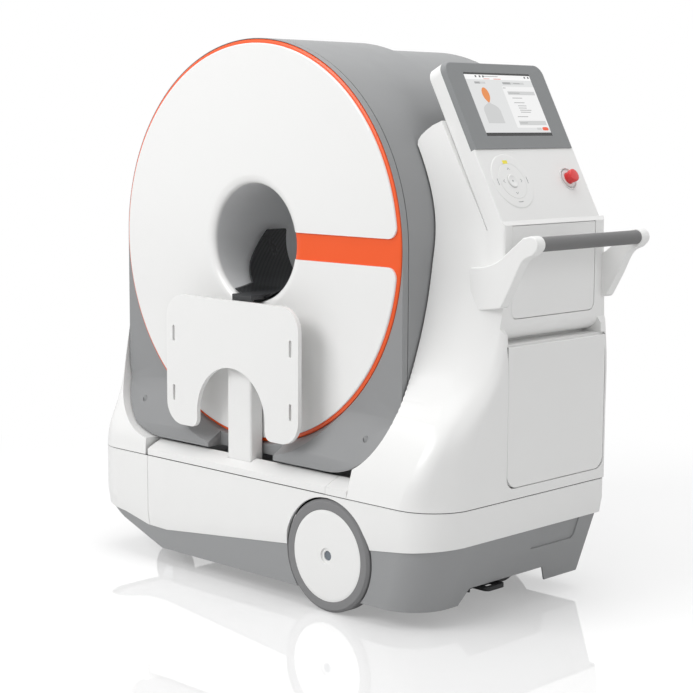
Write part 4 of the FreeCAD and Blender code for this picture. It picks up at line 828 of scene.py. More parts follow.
@dataclass
class FrontDisc(Assembly):
    """White front disc with a lip that rolls into the bore, and the orange disc behind it."""

    face: float = -10.0
    thickness: float = 6.0
    radius: float = 583.0
    bore: float = 175.0
    lip: float = 28.0
    lip_depth: float = 18.0
    rim_round: float = 4.0
    stripe: float = 39.0
    play: float = 0.3
    corner: float = 30.0
    ring: float = 594.0
    back: float = 10.0

    def roll(self, depth: float, steps: int = 10) -> list[Spot]:
        """The lip's quarter of an ellipse, from the disc's face to the bore's edge.

        Args:
            depth: How far it goes back.
            steps: How many divisions.

        Returns:
            Pairs of radius and distance along the bore.
        """
        end = self.face + self.lip_depth
        turns = [math.pi / 2 * k / steps for k in range(steps + 1)]
        return [(self.bore + self.lip * (1 - math.sin(t)), end - depth * math.cos(t)) for t in turns]

    def cover(self) -> None:
        """Turns the white disc and cuts the stripe's slot with rounded corners at the ring."""
        mouth, back, end = self.bore + self.lip, self.face + self.thickness, self.face + self.lip_depth
        rim = arc((self.radius - self.rim_round, self.face + self.rim_round), self.rim_round, 0, -90, 6)
        profile = [(self.radius, back), *rim, *self.roll(self.lip_depth), (mouth, end), (mouth, back)]
        shell = Blank().lathe(profile, 256).temporary()
        along = math.sqrt((self.radius - self.corner) ** 2 - (self.stripe + self.corner) ** 2)
        side = arc((along, self.stripe + self.corner), self.corner, -90, 7, 8)
        upper = [(120.0, self.stripe), *side, (640.0, side[-1][1])]
        lower = [(x, -z) for x, z in reversed(upper)]
        slot = along_bore([(x, BORE.z + z) for x, z in upper + lower], self.face - 20, 60)
        combine(shell, [slot], "DIFFERENCE")
        self.piece(shell, "front_disc", DISC, "gantry", "white_cover", ["front_cover"], 34, 1.2)

    def backing(self) -> None:
        """Turns the orange disc, whose rim shows as a ring and whose face shows as the stripe."""
        mouth, front, end = self.bore + self.lip, self.face + self.thickness, self.face + self.lip_depth
        profile = [(mouth + 0.5, self.back), (self.ring, self.back), (self.ring, front + 6),
                   (self.ring - 1.5, front + 2.4), (self.ring - 5, front + 0.5), (self.radius + 2, front),
                   (mouth + 0.5, front)]
        disc = Blank().lathe(profile, 256).temporary()
        lip = [(mouth + 2, front), *self.roll(self.lip_depth - self.thickness), (mouth + 2, end)]
        tongue = Blank().lathe(lip, 256).temporary()
        low, high = BORE.z - self.stripe + self.play, BORE.z + self.stripe - self.play
        window = Blank().box((0, -60, low), (240, 60, high)).temporary()
        combine(tongue, [window], "INTERSECT")
        combine(disc, [tongue], "UNION")
        self.piece(disc, "orange_disc", ORANGE, "gantry", "orange_trim", ["backing_disc"], 34)

    def build(self) -> None:
        """Builds both discs and the liner."""
        self.cover()
        self.backing()
        self.carry("bore_tube", LINER, "gantry", "bore_lining", 0.6)
        self.carry("rear_bore_tube", LINER, "root", "bore_lining", 0.6)


@dataclass
class GantryHousing(Assembly):
    """Grey housing round the ring: front rim, sliding sleeve, fixed rear barrel and end cap."""

    radius: float = 597.0
    bottom: float = 395.0
    corner: float = 230.0
    wall: float = 6.0
    step: float = 18.0
    sleeve: Spot = (24.5, 405.0)
    barrel: Spot = (390.0, 760.0)
    rear_face: float = 800.0
    screw_circle: float = 206.0
    screws: int = 8
    seat: Profile = ((0, -3.2), (6.4, -3.2), (6.4, 4), (0, 4))

    def outline(self, step: float) -> tuple[float, float, float]:
        """Top radius, bottom and lower corners of the housing, drawn in by a step."""
        return self.radius - step, self.bottom + step, self.corner - step

    def build(self) -> None:
        """Builds the housing's pieces; both shells are open below, over the carriage."""
        self.carry("front_rim", GREY, "gantry", "grey_cover", 1.5)
        self.carry("rim_plugs", GREY, "gantry", "grey_cover", 1.0)
        sleeve = housing_shell(*self.sleeve, self.outline(0.0), self.wall, GREY)
        combine(sleeve, [Blank().box((-300, 0, 380), (300, 500, 425)).temporary()], "DIFFERENCE")
        self.piece(sleeve, "housing_sleeve", GREY, "gantry", "grey_cover", ["sleeve"])
        barrel = housing_shell(*self.barrel, self.outline(self.step), self.wall, GREY)
        combine(barrel, [Blank().box((-330, 300, 380), (330, 800, 453)).temporary()], "DIFFERENCE")
        self.piece(barrel, "rear_housing", GREY, "root", "grey_cover", ["rear_barrel"])
        seats = Blank()
        for x, z in arc((0.0, BORE.z), self.screw_circle, 0, 360 - 360 / self.screws, self.screws - 1):
            seats.lathe(self.seat, 32, Vector((x, self.rear_face, z)))
        cover = combine(merged("rear_cover"), [seats.temporary()], "DIFFERENCE")
        self.piece(cover, "rear_end_cover", GREY, "root", "grey_cover", ["rear_cover"], 32, 2.0)
        screws = screw_ring(Vector((0, self.rear_face - 1.8, BORE.z)), self.screw_circle, self.screws, SCREW)
        self.piece(screws, "rear_mouth_screws", SCREW, "root", "rail_steel")


@dataclass
class RotorAndCarriage(Assembly):
    """Everything inside the housing and under it, which shows only through gaps and in poses."""

    def build(self) -> None:
        """Dresses the inner CAD nodes."""
        self.dress(CAST, "stator_plate", "rotor_plate", "gantry_bed")
        self.dress(STEEL, "outer_race", "inner_race", "rails", "carriage_blocks")
        self.dress(UNIT, "ray_tube", "collimator", "detector_arc", "high_voltage_unit", "cooler_unit",
                   "front_motor", "rear_motor")
        self.dress(FRAME, "chassis_frame")


# ---------------------------------------------------------------- base


@dataclass
class Base(Assembly):
    """White base covers over a grey skirt, with a black strip in the seam under the deck as painted shade."""

    low: Spot = (-690.0, -100.0)
    high: Spot = (813.0, 665.0)
    left_round: float = 150.0
    right_round: float = 140.0
    far_round: float = 30.0
    seam: Spot = (338.4, 341.2)
    skirt_foot: Spot = (740.0, 50.0)
    skirt_top: Spot = (804.0, 240.0)
    pocket_depth: float = 5.0

    def plan(self, inset: float, z: float) -> list[Vector]:
        """The base's outline seen from above, drawn in by an inset.

        Args:
            inset: How far it is drawn in.
            z: Its height.

        Returns:
            The outline's points.
        """
        x0, y0 = self.low[0] + inset, self.low[1] + inset
        x1, y1 = self.high[0] - inset, self.high[1] - inset
        left, right, far = self.left_round - inset, self.right_round - inset, self.far_round - inset
        outline = [*arc((x1 - right, y0 + right), right, 270, 360, 24),
                   *arc((x1 - far, y1 - far), far, 0, 90, 8),
                   *arc((x0 + far, y1 - far), far, 90, 180, 8),
                   *arc((x0 + left, y0 + left), left, 180, 270, 24)]
        return [Vector((x, y, z)) for x, y in outline]

    def bands(self) -> None:
        """White bands, lowered a little under the deck, and a black strip in the seam that leaves, as painted
        shade.
        """
        low, high = self.seam
        for node in ("left_band", "main_band"):
            above = Blank().box((-900, -300, low), (1000, 900, 420)).temporary()
            band = combine(merged(node), [above], "DIFFERENCE")
            self.piece(band, f"{node}_cover", WHITE, "root", "white_cover", [node], 32, 1.2)
        # Painted shade: a black strip set into the seam so that it reads as a dark line.
        rubber = Blank().prism(self.plan(3.0, low), Vector((0, 0, high - low))).temporary()
        middle = Blank().prism(self.plan(12.0, low - 5), Vector((0, 0, 20))).temporary()
        self.piece(combine(rubber, [middle], "DIFFERENCE"), "seam_shade_strip", BLACK, "root", "black_tread")

    def pocket(self) -> bpy.types.Object:
        """A cutter for the shallow hand pocket in the skirt's right end, which leans outwards.

        Returns:
            The cutter.
        """
        (x0, z0), (x1, z1) = self.skirt_foot, self.skirt_top
        outline = [(350, 170), *arc((536, 184), 14, 270, 360, 8), (550, 246), (378, 246)]
        sections = [[Vector((x0 + (x1 - x0) * (z - z0) / (z1 - z0) + lift, y, z)) for y, z in outline]
                    for lift in (-self.pocket_depth, 60)]
        return Blank().loft(sections).temporary()

    def build(self) -> None:
        """Builds the covers."""
        self.bands()
        self.carry("deck_cover", WHITE, "root", "white_cover", 1.5)
        skirt = combine(merged("skirt"), [self.pocket()], "DIFFERENCE")
        self.piece(skirt, "skirt_cover", SKIRT, "root", "grey_cover", ["skirt"], 32, 1.5)


@dataclass(frozen=True)
class Level:
    """One level of an upright: where its front starts and its two rounded outer corners."""

    z: float
    start: float
    ridge: tuple[float, float, float]
    outer: tuple[float, float, float]

    def values(self) -> list[float]:
        """All sizes of the level in one list."""
        return [self.start, *self.ridge, *self.outer]


def blended(levels: Sequence[Level], z: float) -> list[float]:
    """Sizes at a height between the levels, on a smooth curve through all of them.

    Args:
        levels: The levels from the lowest up.
        z: The height.

    Returns:
        The sizes in the order of Level.values.
    """
    last = len(levels) - 2
    k = max(0, min(last, sum(level.z <= z for level in levels) - 1))
    span = levels[k + 1].z - levels[k].z
    part = (z - levels[k].z) / span
    before, after = levels[max(0, k - 1)], levels[min(last + 1, k + 2)]
    result = []
    for a, b, c, d in zip(before.values(), levels[k].values(), levels[k + 1].values(), after.values()):
        rise = (c - a) / (levels[k + 1].z - before.z) * span
        fall = (d - b) / (after.z - levels[k].z) * span
        result.append(b * (2 * part ** 3 - 3 * part ** 2 + 1) + c * (3 * part ** 2 - 2 * part ** 3)
                      + rise * (part ** 3 - 2 * part ** 2 + part) + fall * (part ** 3 - part ** 2))
    return result


# The console's slanted panel: its lean, the ways out of its face and up its slope, and the fold
# where it meets the tower's outer side.
TILT = math.radians(27.8)
OUT = Vector((math.cos(TILT), 0.0, math.sin(TILT)))
UP_SLOPE = Vector((-math.sin(TILT), 0.0, math.cos(TILT)))
FOLD = Vector((780.0, 420.0, 1112.0))


@dataclass
class Uprights(Assembly):
    """The console tower with its bins, and the low left wing, both hugging the gantry."""

    seam: float = 341.0
    front: float = -100.0
    far: float = 665.0
    tower_inner: float = 480.0
    wing_inner: float = -400.0
    step: float = 15.0
    tunnel_radius: float = 602.0
    tunnel_bottom: float = 390.0
    tunnel_corner: float = 235.0
    column: float = 792.0
    base: float = 813.0
    panel: float = 58.0
    bin_depth: float = 120.0
    flap: tuple[float, float, float] = (190.0, 842.0, 1098.0)
    door: tuple[float, float, float] = (223.0, 372.0, 768.0)
    leaf: float = 12.3
    gap: float = 1.5
    tower_top: float = 1440.0
    wing_top: float = 800.0
    crown: Profile = ((300, 200), (1000, 200), (1000, 1403), (640, 1403), (600, 1400), (550, 1370),
                      (537, 1356), (528, 1343), (524, 1330), (525, 1316), (300, 1250))
    shelf_back: Spot = (738.0, 774.0)
    shelf_curve: tuple[float, float, float] = (745.0, 823.0, 42.0)
    shelf_top: float = 830.0
    shelf_ends: Spot = (199.0, 627.0)
    tower_levels: tuple[Level, ...] = (
        Level(341, -100, (731, -100, 58), (813, -18, 58)), Level(430, -72, (752, -95, 45), (813, 4, 50)),
        Level(540, -45, (772, -38, 38), (813, 38, 42)), Level(700, -20, (750, 103, 40), (813, 150, 32)),
        Level(870, 30, (722, 155, 46), (800, 196, 11)), Level(1070, 40, (687, 193, 48), (792, 195.8, 10)),
        Level(1250, 80, (642, 194, 52), (792, 195.8, 10)), Level(1440, 165, (578, 194, 40), (792, 195.8, 10)))
    wing_levels: tuple[Level, ...] = (
        Level(341, -100, (-602, -100, 60), (-690, -12, 60)), Level(400, -95, (-600, -93, 58), (-686, -5, 58)),
        Level(470, -70, (-598, -66, 46), (-677, 22, 50)), Level(550, -40, (-604, -36, 36), (-662, 70, 50)),
        Level(640, -20, (-612, -12, 24), (-648, 100, 60)), Level(760, -10, (-610, 12, 12), (-626, 130, 70)))

    def tunnel(self) -> bpy.types.Object:
        """The room round the gantry that both uprights leave free.

        Returns:
            The cutter.
        """
        r, low, c = self.tunnel_radius, self.tunnel_bottom, self.tunnel_corner
        outline = arc((0, BORE.z), r, 0, 180, 160) + arc((-r + c, low + c), c, 180, 270, 32)
        outline += arc((r - c, low + c), c, 270, 360, 32)
        return along_bore(outline, -200, 1000)

    def upright(self, levels: Sequence[Level], inner: float, top: float) -> bpy.types.Object:
        """Lofts an upright through its levels.

        Args:
            levels: Its levels.
            inner: Where its inner side lies.
            top: The height it is drawn to.

        Returns:
            The closed solid before anything is cut from it.
        """
        count = round((top - self.seam) / self.step)
        sections = []
        for k in range(count + 1):
            z = self.seam + (top - self.seam) * k / count
            start, x1, y1, t1, x2, y2, t2 = blended(levels, z)
            room = min(1.0, 0.97 * math.dist((x1, y1), (x2, y2)) / (t1 + t2))
            t1, t2 = t1 * room, t2 * room
            a, p, q = Vector((inner, start, z)), Vector((x1, y1, z)), Vector((x2, y2, z))
            b, c = Vector((x2, self.far, z)), Vector((inner, self.far, z))
            sections.append([a, *bent(a, p, q, t1, 14), *bent(p, q, b, t2, 12), *bent(q, b, c, 24, 6), c])
        return Blank().loft(sections).temporary()

    def opening(self, half: float, low: float, high: float, start: float, lower: float) -> bpy.types.Object:
        """A cutter through the outer side with rounded lower corners.

        Args:
            half: Half its width.
            low: Its lower edge.
            high: Its upper edge.
            start: The place across the scanner where it starts.
            lower: Radius of its lower corners.

        Returns:
            The cutter.
        """
        outline = rounded_rect((-half, low), (half, high), lower, 0.5)
        return across_bore([(FOLD.y + y, z) for y, z in outline], start, 300)

    def deck_end(self) -> bpy.types.Object:
        """The tower's share of the deck in front of the gantry.

        Returns:
            The solid that is joined to the tower.
        """
        front = self.front
        profile = [(front, self.seam), (front, 361), (-48, 385), (-40, 385), (-40, 377), (front + 6, 357),
                   (front + 6, self.seam)]
        return across_bore(profile, 400.8, 81)

    def shelf(self) -> bpy.types.Object:
        """A cutter for the shelf between the bins, whose ceiling curves out to the tower's face.

        Returns:
            The cutter.
        """
        (back, floor), (start, crest, rise) = self.shelf_back, self.shelf_curve
        turns = [math.pi / 2 * k / 12 for k in range(1, 13)]
        ceiling = [(start + (self.column - start) * math.sin(t), crest - rise * math.cos(t)) for t in turns]
        outline = [(900, floor), (back, floor), (back, crest - rise), (start, crest - rise), *ceiling,
                   (self.column, self.shelf_top), (900, self.shelf_top)]
        y0, y1 = self.shelf_ends
        return along_bore(outline, y0, y1 - y0)

    def tower(self) -> None:
        """Tower: lofted, cut for the gantry, the slanted panel, both bins and the shelf between them."""
        shell = self.upright(self.tower_levels, self.tower_inner, self.tower_top)
        combine(shell, [self.deck_end()], "UNION")
        combine(shell, [along_bore(self.crown, -500, 1800)], "INTERSECT")
        brow, foot = self.column - FOLD.x, FOLD - OUT * self.panel
        top = foot + UP_SLOPE * 700
        panel = [foot, top, top + OUT * 700, FOLD + Vector((400, 0, -brow)), FOLD + Vector((brow, 0, -brow)),
                 FOLD]
        face = [(self.column, 820), (816, 788), (900, 788), (900, 1300), (self.column, 1300)]
        cutters = [self.tunnel(), along_bore([(v.x, v.z) for v in panel], -400, 1600),
                   along_bore(face, -300, 1200), self.shelf()]
        depth, gap = self.column - self.bin_depth, self.gap
        half, low, high = self.flap
        cutters += [self.opening(half - 12, low + 12, high - 12, depth, 10),
                    self.opening(half + gap, low - gap, high + gap, self.column - self.leaf, 23.5)]
        half, low, high = self.door
        cutters += [self.opening(half - 14, low + 14, high - 14, depth, 12),
                    self.opening(half + gap, low - gap, high + 7, self.base - self.leaf, 33.0)]
        combine(shell, cutters, "DIFFERENCE")
        self.piece(shell, "console_tower", WHITE, "root", "white_cover", ["tower_shell"], 30, 1.0)

    def wing(self) -> None:
        """Left wing: lofted and cut for the gantry."""
        shell = self.upright(self.wing_levels, self.wing_inner, self.wing_top)
        end = along_bore([(-389.2, 300), (100, 300), (100, 900), (-389.2, 900)], -300, 1200)
        combine(shell, [self.tunnel(), end], "DIFFERENCE")
        self.piece(shell, "left_upright", WHITE, "root", "white_cover", ["left_wing"], 30, 1.0)

    def build(self) -> None:
        """Builds both uprights."""
        self.tower()
        self.wing()


# ---------------------------------------------------------------- console


def on_panel(u: float, v: float, w: float = 0.0) -> Vector:
    """A place on the slanted panel, in millimetres from the foot of the bore.

    Args:
        u: Across the panel from its middle, away from the front.
        v: Up the slope from the fold.
        w: Out of the panel's face.

    Returns:
        The place.
    """
    return FOLD + Vector((0.0, u, 0.0)) + UP_SLOPE * v + OUT * w


def lay(blank: Blank, outline: Profile, lift: float, height: float) -> Blank:
    """Adds a flat block that lies along the slanted panel.

    Args:
        blank: The mesh it is added to.
        outline: Its outline on the panel.
        lift: Where it starts, out of the panel's face.
        height: How far it rises from there.

    Returns:
        The blank.
    """
    return blank.prism([on_panel(u, v, lift) for u, v in outline], OUT * height)


@dataclass
class Display(Assembly):
    """Grey frame over the panel's upper half with a lit touch screen: a generic page with a
    patient's outline and lists, and no words."""

    half: float = 224.0
    low: float = 218.0
    high: float = 495.0
    corner: float = 38.0
    screen: tuple[float, float, float, float] = (-148.0, 258.0, 296.0, 200.0)
    gap: float = 0.4
    glass: float = 2.25

    def frame(self) -> None:
        """Lofts the frame, whose edge slopes down over the panel's sides, and cuts its window."""
        sections = []
        for grow, lift in ((0.0, -12.0), (0.0, -9.0), (-6.5, 2.4), (-8.5, 3.2)):
            outline = rounded_rect((-self.half - grow, self.low), (self.half + grow, self.high + grow), 0.4,
                                   self.corner + grow)
            sections.append([on_panel(u, v, lift) for u, v in outline])
        shell = Blank().loft(sections).temporary()
        (u0, v0, wide, high), gap = self.screen, self.gap
        window = rounded_rect((u0 - gap, v0 - gap), (u0 + wide + gap, v0 + high + gap), 0.5, 0.5, 1)
        combine(shell, [lay(Blank(), window, -0.5, 12).temporary()], "DIFFERENCE")
        self.piece(shell, "display_frame", BEZEL, "root", "grey_cover", ["display_bezel"], 20, 0.5)

    def patches(self, name: str, coat: Glow, shapes: Sequence[Profile], lift: float) -> None:
        """Lays flat shapes on the glass, each a tenth of a millimetre thick.

        Args:
            name: The piece's name.
            coat: Its lit colour.
            shapes: Outlines in parts of the screen's width and height.
            lift: Height over the glass, in millimetres.
        """
        u0, v0, wide, high = self.screen
        blank = Blank()
        for shape in shapes:
            lay(blank, [(u0 + s * wide, v0 + t * high) for s, t in shape], self.glass + lift, 0.1)
        self.piece(blank.temporary(), name, coat, "root", "screen_glass")

    @staticmethod
    def bar(s0: float, s1: float, t: float, tall: float) -> list[Spot]:
        """A level bar between two places across, at a height."""
        return [(s0, t - tall / 2), (s1, t - tall / 2), (s1, t + tall / 2), (s0, t + tall / 2)]

    def build(self) -> None:
        """Builds the frame and what the screen shows."""
        bar = self.bar
        self.frame()
        self.dress(Glow("lit_page", "#e2e3e3"), "screen")
        self.patches("screen_edges", Glow("dark_screen_edge", "#141516"), [
            [(0, 0), (1, 0), (1, 0.052), (0, 0.052)], [(0, 0.972), (1, 0.972), (1, 1), (0, 1)]], 0.02)
        self.patches("screen_header", Glow("lit_white_header", "#fbfbfb"), [
            [(0, 0.895), (1, 0.895), (1, 0.972), (0, 0.972)]], 0.02)
        self.patches("screen_list", Glow("lit_list", "#f3f3f3"), [
            [(0.505, 0.13), (1, 0.13), (1, 0.79), (0.505, 0.79)]], 0.02)
        heads = [bar(0.56, 0.975, 0.685, 0.058), bar(0.56, 0.975, 0.205, 0.07),
                 bar(0.115, 0.275, 0.842, 0.034), bar(0.535, 0.865, 0.842, 0.036),
                 bar(0.80, 0.865, 0.112, 0.036)]
        self.patches("screen_bars", Glow("lit_grey_bar", "#cfd0d0"), heads, 0.14)
        darker = [bar(0.115, 0.195, 0.842, 0.034), bar(0.535, 0.655, 0.842, 0.036)]
        self.patches("screen_tabs", Glow("lit_tab", "#a9aaab"), darker, 0.26)
        lines = [(0.57, 0.74, 0.685), (0.60, 0.75, 0.605), (0.60, 0.76, 0.53), (0.64, 0.77, 0.48),
                 (0.64, 0.76, 0.445), (0.645, 0.82, 0.41), (0.645, 0.80, 0.378), (0.57, 0.73, 0.305),
                 (0.57, 0.69, 0.205), (0.51, 0.555, 0.765), (0.27, 0.50, 0.945), (0.13, 0.18, 0.842),
                 (0.56, 0.64, 0.842), (0.70, 0.80, 0.842)]
        self.patches("screen_lines", Glow("lit_grey_line", "#9b9c9c"),
                     [bar(a, b, t, 0.010) for a, b, t in lines], 0.38)
        marks = [bar(s, s + 0.022, 0.942, 0.03) for s in (0.155, 0.215, 0.265, 0.90, 0.955)]
        self.patches("screen_marks", Glow("lit_dark_mark", "#4a4b4c"), marks, 0.5)
        skull = [(0.218 + 0.052 * math.cos(a) * (1.0 if math.sin(a) > 0 else 1.0 - 0.45 * math.sin(a) ** 2),
                  0.655 + (0.112 if math.sin(a) > 0 else 0.128) * math.sin(a))
                 for a in (2 * math.pi * k / 40 for k in range(40))]
        self.patches("screen_head_shape", Glow("lit_orange", "#e8893a"), [skull], 0.14)
        shoulders = [(0.10, 0.20), (0.345, 0.20), (0.345, 0.40), (0.325, 0.455), (0.285, 0.49),
                     (0.245, 0.51), (0.225, 0.535), (0.205, 0.535), (0.19, 0.51), (0.155, 0.49),
                     (0.118, 0.455), (0.10, 0.40)]
        self.patches("screen_body_shape", Glow("lit_body_grey", "#cdcece"), [shoulders], 0.04)
        button = rounded_rect((0, 0), (1, 1), 0.3, 0.3, 4)
        self.patches("screen_button", Glow("lit_red_orange", "#f04e14"),
                     [[(0.885 + 0.09 * s, 0.085 + 0.054 * t) for s, t in button]], 0.14)
        self.patches("screen_rule", Glow("lit_orange_line", "#e0705a"), [bar(0.27, 0.36, 0.905, 0.008),
                                                                        bar(0.42, 0.53, 0.905, 0.010)], 0.5)


@dataclass
class Console(Assembly):
    """Slanted panel with the drive pad and stop button, the bins and the push bar."""

    shape: tuple[float, float, float, float] = (224.0, -1.0, 495.0, 38.0)
    thickness: float = 58.0
    frame_start: float = 217.8
    bar: Spot = (909.0, 1056.0)
    bar_radius: float = 20.0
    arm_width: float = 36.0
    pad: Spot = (-112.0, 119.0)
    pad_radius: float = 83.0
    pad_rise: float = 2.0
    ink: float = 0.15
    stop: Spot = (145.0, 121.0)
    flap: tuple[float, float, float, float, float] = (190.0, 842.0, 1098.0, 22.0, 792.0)
    door: tuple[float, float, float, float, float] = (223.0, 372.0, 768.0, 45.0, 813.0)
    peg: tuple[float, float, float] = (770.0, 560.0, 812.0)
    peg_way: tuple[float, float, float] = (0.55, 0.0, -0.835)

    def turned(self, profile: Profile, spot: Spot, steps: int = 96) -> bpy.types.Object:
        """Turns a profile about the panel's normal through a spot on it."""
        return Blank().lathe(profile, steps, on_panel(*spot), OUT).temporary()

    def drive_pad(self) -> None:
        """Round pad with a ring groove, a dished button in its middle and printed marks."""
        rim, face = self.pad_radius, self.pad_rise
        pad = [(20.6, -0.5), (20.6, 1.5), (21.4, face), (53.2, face), (53.9, 0.9), (55.2, 0.9), (56.2, face),
               (rim - 4, face), (rim - 1.2, 1.2), (rim, 0.2), (rim, -0.5)]
        self.piece(self.turned(pad, self.pad, 128), "pad_disc", WHITE, "root", "white_cover",
                   ["drive_pad"], 50)
        knob = [(0, 2.4), (7, 2.2), (12, 2.9), (15.5, 4.4), (17.5, 5.0), (19.2, 4.4), (20, 2.8), (20, -4),
                (0, -4)]
        self.piece(self.turned(knob, self.pad), "pad_button", WHITE, "drive_button", "white_cover",
                   ["drive_button"], 50)
        dot = [(0, 2.75), (2.4, 2.7), (2.4, 1.5), (0, 1.5)]
        self.piece(self.turned(dot, self.pad, 24), "pad_button_dot", INK, "drive_button", "grey_cover")
        blank = Blank()
        for k in range(4):
            way = math.radians(90 * k + 90)
            for side in (-1, 1):
                tip, tail = (39.0, 0.0), (33.5, 5.0 * side)
                stroke = [tip, (tip[0] + 2.2, 0.0), (tail[0] + 2.2, tail[1]), tail]
                turned = [(self.pad[0] + a * math.cos(way) - b * math.sin(way),
                           self.pad[1] + a * math.sin(way) + b * math.cos(way)) for a, b in stroke]
                lay(blank, turned, face, self.ink)
        for start in (172, 262, -8):
            inner = arc(self.pad, 63.5, start, start + 18, 6)
            outer = arc(self.pad, 65.5, start + 18, start, 6)
            lay(blank, inner + outer, face, self.ink)
        self.piece(blank.temporary(), "pad_marks", INK, "root", "grey_cover")
        patch = [(-126.5, 172), (-105.5, 172), (-105.5, 182.5), (-126.5, 182.5)]
        self.piece(lay(Blank(), patch, face, 0.2).temporary(), "pad_patch", YELLOW, "root", "white_cover")

    def stop_switch(self) -> None:
        """Red mushroom button in a pale dish."""
        self.carry("stop_collar", WHITE, "root", "white_cover", 0.6)
        mushroom = [(0, 27), (15, 27), (18.5, 25.5), (19.5, 23), (19.5, 14), (17.6, 13), (17.6, -7), (0, -7)]
        self.piece(self.turned(mushroom, self.stop, 64), "stop_mushroom", RED, "stop_button", "red_button",
                   ["stop_button"], 50)

    def gap_shade_strip(self, name: str, leaf: tuple[float, float, float, float, float]) -> None:
        """A black strip in the gap beside a flap or door, nearly three millimetres behind its face, as
        painted shade.

        Args:
            name: The piece's name.
            leaf: Half the leaf's width, its lower and upper edge, its corners and its face.
        """
        half, low, high, corner, face = leaf
        outer = rounded_rect((-half - 1.4, low - 1.4), (half + 1.4, high + 1.2), corner + 1.4, 1.4)
        inner = rounded_rect((-half - 0.3, low - 0.3), (half + 0.3, high + 8), corner + 0.3, 0.3)
        # Painted shade: the black ring fills the gap so that it reads as a dark line.
        ring = across_bore([(FOLD.y + y, z) for y, z in outer], face - 6, 3.2)
        hole = across_bore([(FOLD.y + y, z) for y, z in inner], face - 8, 9)
        foot = Blank().box((face - 20, 0, low - 20), (face + 20, 900, low + corner + 6)).temporary()
        combine(ring, [hole, foot], "DIFFERENCE")
        self.piece(ring, name, BLACK, "root", "black_tread")

    def head(self) -> None:
        """White slanted head, stepped under the display's frame and pierced for both buttons."""
        half, low, high, corner = self.shape
        sections = []
        for inset, lift in ((3.0, -self.thickness), (0.0, 3.0 - self.thickness), (0.0, -3.5), (0.5, -1.8),
                            (1.8, -0.5), (3.5, 0.0)):
            outline = rounded_rect((-half + inset, low), (half - inset, high - inset), 0.3,
                                   corner - inset, 12)
            sections.append([on_panel(u, v, lift) for u, v in outline])
        shell = Blank().loft(sections).temporary()
        step = [(-300, self.frame_start), (300, self.frame_start), (300, 560), (-300, 560)]
        cutters = [lay(Blank(), step, -12.0, 40).temporary(),
                   self.turned([(0, -14), (36, -14), (36, 9), (0, 9)], self.stop),
                   self.turned([(0, -8), (20.5, -8), (20.5, 9), (0, 9)], self.pad)]
        combine(shell, cutters, "DIFFERENCE")
        self.piece(shell, "console_body", WHITE, "root", "white_cover", ["console_head"], 24)

    def arm(self, side: str, start: float) -> None:
        """One arm of the push bar: a smooth paddle that rises from the tower to the bar.

        Args:
            side: Near or far, which starts its name.
            start: Its front side, along the bore.
        """
        over = flow([(700, 984), (752, 990), (796, 1006), (846, 1045), (882, 1074)])
        tip = arc(self.bar, 24, 112, -38, 12)
        under = flow([(914, 1028), (880, 1008), (846, 944), (812, 884)])
        outline = [*over, *tip, *under, (806, 878), (700, 862)]
        paddle = along_bore(outline, start, self.arm_width)
        self.piece(paddle, f"{side}_paddle", WHITE, "root", "white_cover", [f"{side}_arm"], 38, 5.0, 4)

    def build(self) -> None:
        """Builds the console's pieces."""
        self.head()
        self.drive_pad()
        self.stop_switch()
        self.carry("upper_flap", WHITE, "upper_flap", "white_cover", 0.0)
        half, low, high, corner, face = self.door
        outline = rounded_rect((-half, low), (half, high + 1), corner, 0.5, 12)
        keep = across_bore([(FOLD.y + y, z) for y, z in outline], face - 100, 200)
        leaf = combine(merged("lower_door"), [keep], "INTERSECT")
        self.piece(leaf, "door_leaf", WHITE, "lower_door", "white_cover", ["lower_door"], 30)
        self.gap_shade_strip("flap_gap_shade", self.flap)
        self.gap_shade_strip("door_gap_shade", self.door)
        half, radius = self.shape[0], self.bar_radius
        self.arm("near", FOLD.y - half - self.arm_width)
        self.arm("far", FOLD.y + half)
        grip = Blank().lathe([(0, -half), (radius, -half), (radius, half), (0, half)], 64,
                             Vector((self.bar[0], FOLD.y, self.bar[1])))
        self.piece(grip.temporary(), "push_grip", GRIP, "root", "grey_grip", ["push_bar"])
        peg = Blank().lathe([(0, -2), (3.4, -2), (3.4, 17), (2.6, 18.6), (0, 19)], 24, Vector(self.peg),
                            Vector(self.peg_way))
        self.piece(peg.temporary(), "shelf_peg", WHITE, "root", "white_cover")


# ---------------------------------------------------------------- post, board and head holder


